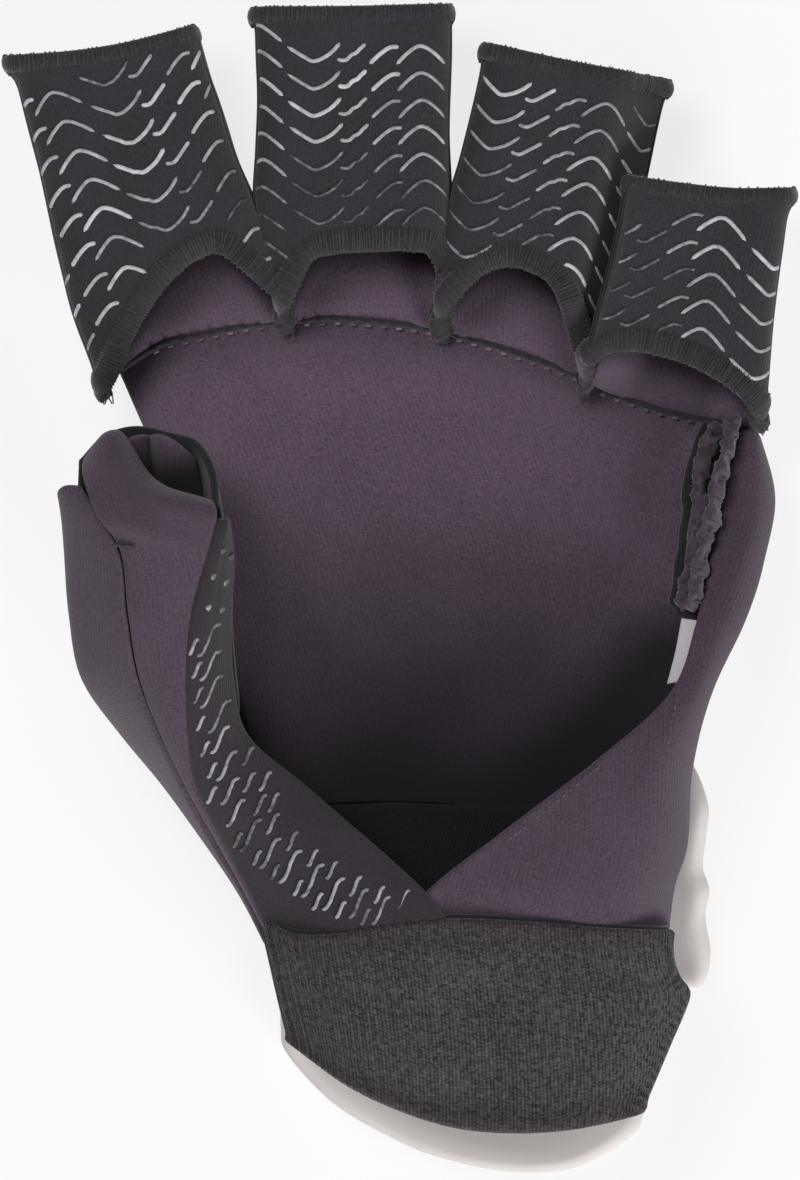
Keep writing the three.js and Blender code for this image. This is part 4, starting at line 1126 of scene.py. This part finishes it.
# The lining of the sleeve stands in the mouth in two folds; a bar tack holds the rolled edge at the seam.
FOLD_ROWS = [
    [(-30.2, 6, 25), (-34, 6.4, 24.6), (-38, 6.4, 24), (-42, 6.2, 24.6), (-46, 5.6, 26.6)],
    [(-30.6, 15, 28), (-34.6, 15.6, 29.8), (-38, 15.6, 26.6), (-41, 15.4, 29.4), (-45.5, 14.5, 30.4)],
    [(-31.8, 20.6, 29.6), (-36, 23.9, 31.4), (-38.6, 23.8, 28.2), (-41, 23.8, 31.8), (-45.2, 21.6, 33)],
]
FOLD_WALL = 1.1
FOLD_SHADE_Y = 17.0
FOLD_LIGHT_REACH = 6.5
FOLD_VALLEY = 27.4
FOLD_RISE = 3.8
TACK_ACROSS = (0.0, 0.22)
TACK_ALONG = 0.655
TACK_LIFT = 0.2
TACK_SIZE = (0.8, 0.6)
TACK_OUT = (-0.3, 0.0, 1.0)
fold = panel("thumb_lining_fold", net(FOLD_ROWS), 60, 40, 0.0, -FOLD_WALL)
# Painted shade on the fold: darker deeper in the sleeve, away from the mouth, and low in the valley between
# the folds.
fold_spots = spots_of(fold)
near_mouth = smooth((fold_spots[:, 1] - FOLD_SHADE_Y) / FOLD_LIGHT_REACH)
set_unshaded(fold, near_mouth * smooth((fold_spots[:, 2] - FOLD_VALLEY) / FOLD_RISE))
bend_thumb(dress(fold, shaded_lining_knit, "palm_knit", "thumb_mouth_hem"))
tack_path = front_face(np.linspace(*TACK_ACROSS, 40)[None], np.array([[TACK_ALONG]]))[0]
tack = joined("thumb_bar_tack", [bead(tack_path + [0, 0, TACK_LIFT], TACK_OUT, *TACK_SIZE)], [0.1])
bend_thumb(dress(tack, hem_thread, "seam_thread"))

THUMB_PAD_SPAN = (0.06, 0.9, 0.1, 0.86)
THUMB_PAD_TOP = 3.2
THUMB_PAD_FOOT = 0.2
pad_face = part_of(net(BACK_ROWS), *THUMB_PAD_SPAN)
thumb_pad = panel("thumb_pad_foam", pad_face, 24, 30, THUMB_PAD_TOP, THUMB_PAD_FOOT)
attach(dress(thumb_pad, guard_foam, "eva_foam", "thumb_pad"), "thumb")


# The print of the strip: one chain of long leaning strokes near the outer edge, shorter ones on both sides
# of it, and a few dots where the strip narrows at the top.
STRIP_CHAIN = [
    (-28.9, -7.6), (-28.7, -14), (-27.9, -19), (-27.2, -23.2), (-26.4, -27.4), (-26.2, -31.4),
    (-24.4, -35.2), (-20.4, -39.8), (-14.2, -44.2), (-7.6, -48), (-2.6, -49),
]
STRIP_PITCH = 3.9
STRIP_STROKE = [(-1.9, -2.5), (-1.1, -2.0), (-0.45, -0.7), (0.05, 0.7), (0.7, 2.0), (1.7, 2.4)]
STRIP_SIDES = ((0.0, 0.0, 1.0), (3.2, 1.4, 0.6), (-2.4, -1.0, 0.5), (5.8, 1.6, 0.6), (-3.2, -4.2, 0.55))
STRIP_DOTS = [(-27.0, 6.0), (-25.9, 5.1), (-28.4, 2.0), (-26.6, 1.2), (-29.2, -2.7), (-27.2, -3.0)]
STRIP_DOT = np.array([0.4, 0.3])
STRIP_DOT_WIDTH = 1.0
STRIP_WIDTH = 0.58
STRIP_SPACE = 0.9
STRIP_MISS = 0.45
STRIP_INSIDE = np.s_[2:-2, 4:-4]
strip_grid = strip_face(np.linspace(0, 1, 90)[None], np.linspace(0, 1, 330)[:, None])
strip_out = normals_of(strip_grid)


def printed_on_strip(line, width, others):
    """A bead of silicone over a line drawn in plan, or nothing where it leaves the strip or meets another."""
    if len(others) and np.linalg.norm(line[:, None] - others[None], axis=-1).min() < STRIP_SPACE:
        return []
    gaps = np.linalg.norm(line[:, None, None] - strip_grid[STRIP_INSIDE][None, ..., :2], axis=-1)
    nearest = gaps.reshape(len(line), -1).argsort(1)[:, :4]
    gap = np.take_along_axis(gaps.reshape(len(line), -1), nearest, 1)
    if gap[:, 0].max() > STRIP_MISS:
        return []
    share = 1 / (gap + 0.02)
    share = (share / share.sum(1, keepdims=True))[..., None]
    point, out = (field[STRIP_INSIDE].reshape(-1, 3)[nearest] for field in (strip_grid, strip_out))
    out = (out * share).sum(1)
    return [bead((point * share).sum(1) + out * PRINT_LIFT, out, width, PRINT_HEIGHT)]


chain = curve(STRIP_CHAIN, 200)
chain_walked = lengths_along(chain)
stroke = curve(STRIP_STROKE, 18)
lines = [(dot + np.linspace(-STRIP_DOT, STRIP_DOT, 8), STRIP_DOT_WIDTH) for dot in STRIP_DOTS]
for beside, above, size in STRIP_SIDES:
    for place in np.arange(0, chain_walked[-1], STRIP_PITCH):
        centre = at_lengths(place, chain_walked, chain)
        shift = [beside, above] + draw.uniform(-0.3, 0.3, 2)
        lines.append((centre + shift + stroke * size * draw.uniform(0.85, 1.05), STRIP_WIDTH))
printed = np.zeros((0, 2))
dashes = []
for line, width in lines:
    made = printed_on_strip(line, width, printed)
    if made:
        dashes += made
        printed = np.concatenate([printed, line])
strip_print = joined("thumb_strip_print", dashes, draw.uniform(0.1, 0.55, len(dashes)))
bend_thumb(dress(strip_print, silicone, "grip_fabric"))


# Little-finger side: a knit panel that wraps the padded edge of the hand and then crosses the heel of the
# palm as a strap to the foot of the V. Its palm edge is turned in and stitched; its foot is in the cuff seam.
# Each row crosses the panel from the back of the hand over the outline to the palm edge.
SIDE_ROWS = [
    [(54.6, 24.5, 6), (56.2, 24.3, 9), (55.2, 25, 12.4), (52.6, 25.3, 12.6)],
    [(56.8, 14, 7), (58.8, 14, 11.5), (56, 14.2, 16.6), (50.2, 14.5, 16.4)],
    [(54.4, 4, 12), (56.6, 4, 16.5), (53.2, 3.8, 21.2), (47.8, 4, 20)],
    [(50.8, -5, 15.5), (53.3, -5, 19.5), (50.4, -5, 23.9), (45.6, -5, 23)],
    [(45.6, -16, 14.8), (48.4, -16, 20), (46.2, -16, 25.8), (41.6, -15.8, 25.6)],
    [(42.8, -28, 12), (45.4, -27.5, 18.5), (40.6, -27, 27.4), (30.7, -25.8, 27.4)],
    [(42, -40, 9.8), (44.6, -39.5, 17.6), (36.2, -39, 28), (16.6, -36.6, 28)],
    [(40.4, -46.5, 9.4), (42.5, -46.5, 17.4), (32.8, -46.8, 28.2), (4.6, -46, 28.4)],
    [(39.8, -57, 9.8), (40.9, -57, 17.2), (31, -56.8, 25.9), (-2.6, -55.4, 26.7)],
]
SIDE_WALL = 1.4
side_face = net(SIDE_ROWS)
side_panel = panel("little_side_cloth", side_face, 54, 110, 0.0, -SIDE_WALL, rumple=0.3, wave=26.0)
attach(dress(side_panel, outer_knit, "palm_knit", "little_side_panel"), "hand")

SIDE_SEAMS = [
    [(0.88, 0.51), (0.74, 0.575), (0.62, 0.635), (0.52, 0.69)],
    [(0.955, 0.64), (0.96, 0.69), (0.963, 0.74), (0.965, 0.78)],
]
SIDE_STITCHES = 16
SIDE_STITCH_SHARE = 0.04
SIDE_STITCH_LIFT = 0.02
SIDE_STITCH_SIZE = (0.3, 0.25)
seams = []
for line in SIDE_SEAMS:
    for start in np.arange(0, 1, 1 / SIDE_STITCHES):
        places = spline(line, np.linspace(start, start + SIDE_STITCH_SHARE, 5))
        stitch = np.array([side_face(np.array([[u]]), np.array([[v]]))[0, 0] for u, v in places])
        seams.append(bead(stitch + [0, 0, SIDE_STITCH_LIFT], UPRIGHT, *SIDE_STITCH_SIZE))
side_stitches = joined("little_side_stitches", seams, draw.uniform(0.2, 0.6, len(seams)))
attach(dress(side_stitches, seam_thread, "seam_thread"), "hand")


# Raw seam inside the little-finger side: the seam allowance of the knit stands up as two rumpled strands
# that part in a loop at the top and then run together, with loose overlock thread on them; a dark bead
# along their foot is painted shadow. A small blank care label of white tape is caught below.
RIDGES = [
    [(52, 27.2, 13.6), (51.2, 22.5, 16.4), (49.4, 17, 18.8), (47.8, 9.5, 20.2), (46.5, 3.2, 21.2),
     (45, -3, 22)],
    [(49.6, 26.2, 13), (47.9, 22, 15.4), (46.6, 17, 17.4), (46, 9.5, 19), (45, 3.2, 20.2),
     (44, -2.6, 21)],
]
RIDGE_STEPS = 160
RIDGE_SWAY = (0.5, 8.0)
RIDGE_GATHERS = ((0.45, 3.1), (0.2, 1.4))
RIDGE_WIDTH = 2.3
RIDGE_HEIGHT = 2.5
RIDGE_OUT = (-0.3, 0.0, 0.95)
RIDGE_WINDING = 2.6
FOOT_SHIFT = (1.5, 0.0, 1.9)
FOOT_WIDTH = 2.2
FOOT_HEIGHT = 1.6
ridge_cloth = thread_finish("ridge_cloth", (104, 90, 105), (18, 14, 20))


def rumpled(points, size, length):
    """Points pushed about by soft waves, as cloth that is gathered by its stitches."""
    push = [ripple(points + start, length) for start in (0.0, 11.0, 23.0)]
    return points + size * np.stack(push, -1)


ridge_out = np.tile(RIDGE_OUT, (RIDGE_STEPS, 1))
strands, threads = [], []
for ridge_line in RIDGES:
    path = rumpled(curve(ridge_line, RIDGE_STEPS), *RIDGE_SWAY)
    width = RIDGE_WIDTH + 0.5 * ripple(path, 6.0)
    strand_points, strand_faces = bead(path, ridge_out, width, RIDGE_HEIGHT, sides=16)
    for gather in RIDGE_GATHERS:
        strand_points = rumpled(strand_points, *gather)
    strands.append((strand_points, strand_faces))
    threads += overlock(path, ridge_out, RIDGE_WIDTH - 0.1, RIDGE_HEIGHT - 0.2, RIDGE_WINDING)
ridge = joined("seam_ridge", strands, [0.5, 0.35])
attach(dress(ridge, ridge_cloth, "seam_thread", "side_seam_tape"), "hand")
ridge_thread = joined("seam_ridge_overlock", threads, draw.uniform(0.0, 0.9, len(threads)))
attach(dress(ridge_thread, hem_thread, "seam_thread"), "hand")
# Painted shadow of the ridge: a dark bead of the near-black sleeve cloth along its foot.
foot_path = curve(RIDGES[1], RIDGE_STEPS) - FOOT_SHIFT
foot_width = FOOT_WIDTH + 0.6 * ripple(foot_path, 5.0)
foot = joined("seam_ridge_shadow", [bead(foot_path, RIDGE_OUT, foot_width, FOOT_HEIGHT)], [0.0])
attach(dress(foot, shaded_sleeve_cloth, "seam_thread"), "hand")

LABEL_THICKNESS = 0.4
LABEL_ROWS = [
    [(43.6, -4.4, 21.6), (46.8, -4.9, 22.2)],
    [(42.6, -9.6, 22.8), (45.4, -9.4, 23.4)],
    [(41.3, -14.6, 23.8), (43.6, -14.2, 24.4)],
]
label_cloth = knit_finish(
    "label_cloth", (214, 208, 214), (182, 176, 182), wale=0.35, course=0.3, relief=0.04, sheen=0.1, fleck=0.2,
)
label = panel("care_label_tape", net(LABEL_ROWS), 12, 30, 0.0, -LABEL_THICKNESS)
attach(dress(label, label_cloth, "label_cloth", "care_label"), "hand")


# Studio: a pale floor that keeps a soft shadow, a white surround, one large soft key light and a softer fill.
# The camera looks straight down on the palm through a long lens.
CAMERA_HEIGHT = 1.3
VIEW_PLANE = 0.02
PHOTO_HEIGHT = 1180
MM_PER_PIXEL = 0.155
VIEW_LENGTH = PHOTO_HEIGHT * MM_PER_PIXEL * MM
SENSOR = 36.0
SURROUND_LIGHT = 0.15
FLOOR_GLOW = 0.8
FLOOR_HALF = 3000.0
FLOOR_Z = -0.1

camera_data = bpy.data.cameras.new("camera")
camera_data.sensor_width = SENSOR
camera_data.lens = SENSOR * (CAMERA_HEIGHT - VIEW_PLANE) / VIEW_LENGTH
camera_data.clip_end = 10.0
camera = bpy.data.objects.new("camera", camera_data)
camera.location = (0, 0, CAMERA_HEIGHT)
bpy.context.scene.collection.objects.link(camera)
bpy.context.scene.camera = camera


def softbox(name, place, size, power):
    light = bpy.data.lights.new(name, "AREA")
    light.shape = "DISK"
    light.size = size
    light.energy = power
    lamp = bpy.data.objects.new(name, light)
    lamp.location = place
    towards = np.array([0, 0, VIEW_PLANE]) - np.array(place)
    lamp.rotation_mode = "QUATERNION"
    lamp.rotation_quaternion = Vector(towards.tolist()).to_track_quat("-Z", "Y")
    bpy.context.scene.collection.objects.link(lamp)


softbox("key_light", place=(0.55, -0.85, 0.5), size=0.5, power=10.4)
softbox("fill_light", place=(-0.4, 0.38, 1.0), size=0.5, power=6.6)

world = bpy.data.worlds.new("studio")
world.use_nodes = True
world.node_tree.nodes.clear()
surround = Shade(world.node_tree)


def seen_directly(shade):
    """1 where the camera, a reflection or glass sees this surface, 0 where it only gives light."""
    seen = shade.node("ShaderNodeLightPath", {}, {}, "Is Camera Ray")
    for ray in ("Is Glossy Ray", "Is Transmission Ray"):
        seen = shade.maths("MAXIMUM", seen, shade.node("ShaderNodeLightPath", {}, {}, ray))
    return seen


strength = seen_directly(surround) * (1 - SURROUND_LIGHT) + SURROUND_LIGHT
sky = surround.node("ShaderNodeBackground", {}, {"Color": (1, 1, 1, 1), "Strength": strength})
surround.node("ShaderNodeOutputWorld", {}, {"Surface": sky})
bpy.context.scene.world = world

floor_material, floor_shade = new_finish("studio_floor")
matt = floor_shade.node("ShaderNodeBsdfDiffuse", {}, {"Color": (0.9, 0.9, 0.9, 1)})
glow = floor_shade.node("ShaderNodeEmission", {}, {"Color": (1, 1, 1, 1), "Strength": 1.0})
seen = seen_directly(floor_shade) * FLOOR_GLOW
floor_mix = floor_shade.node("ShaderNodeMixShader", {}, {0: seen, 1: matt, 2: glow})
floor_shade.node("ShaderNodeOutputMaterial", {}, {"Surface": floor_mix})
corners = [(x * FLOOR_HALF, y * FLOOR_HALF, FLOOR_Z) for x, y in ((-1, -1), (1, -1), (1, 1), (-1, 1))]
floor = mesh_piece("studio_floor", corners, [(0, 1, 2, 3)])
floor.data.materials.append(floor_material)

bpy.context.scene.view_settings.view_transform = "Standard"
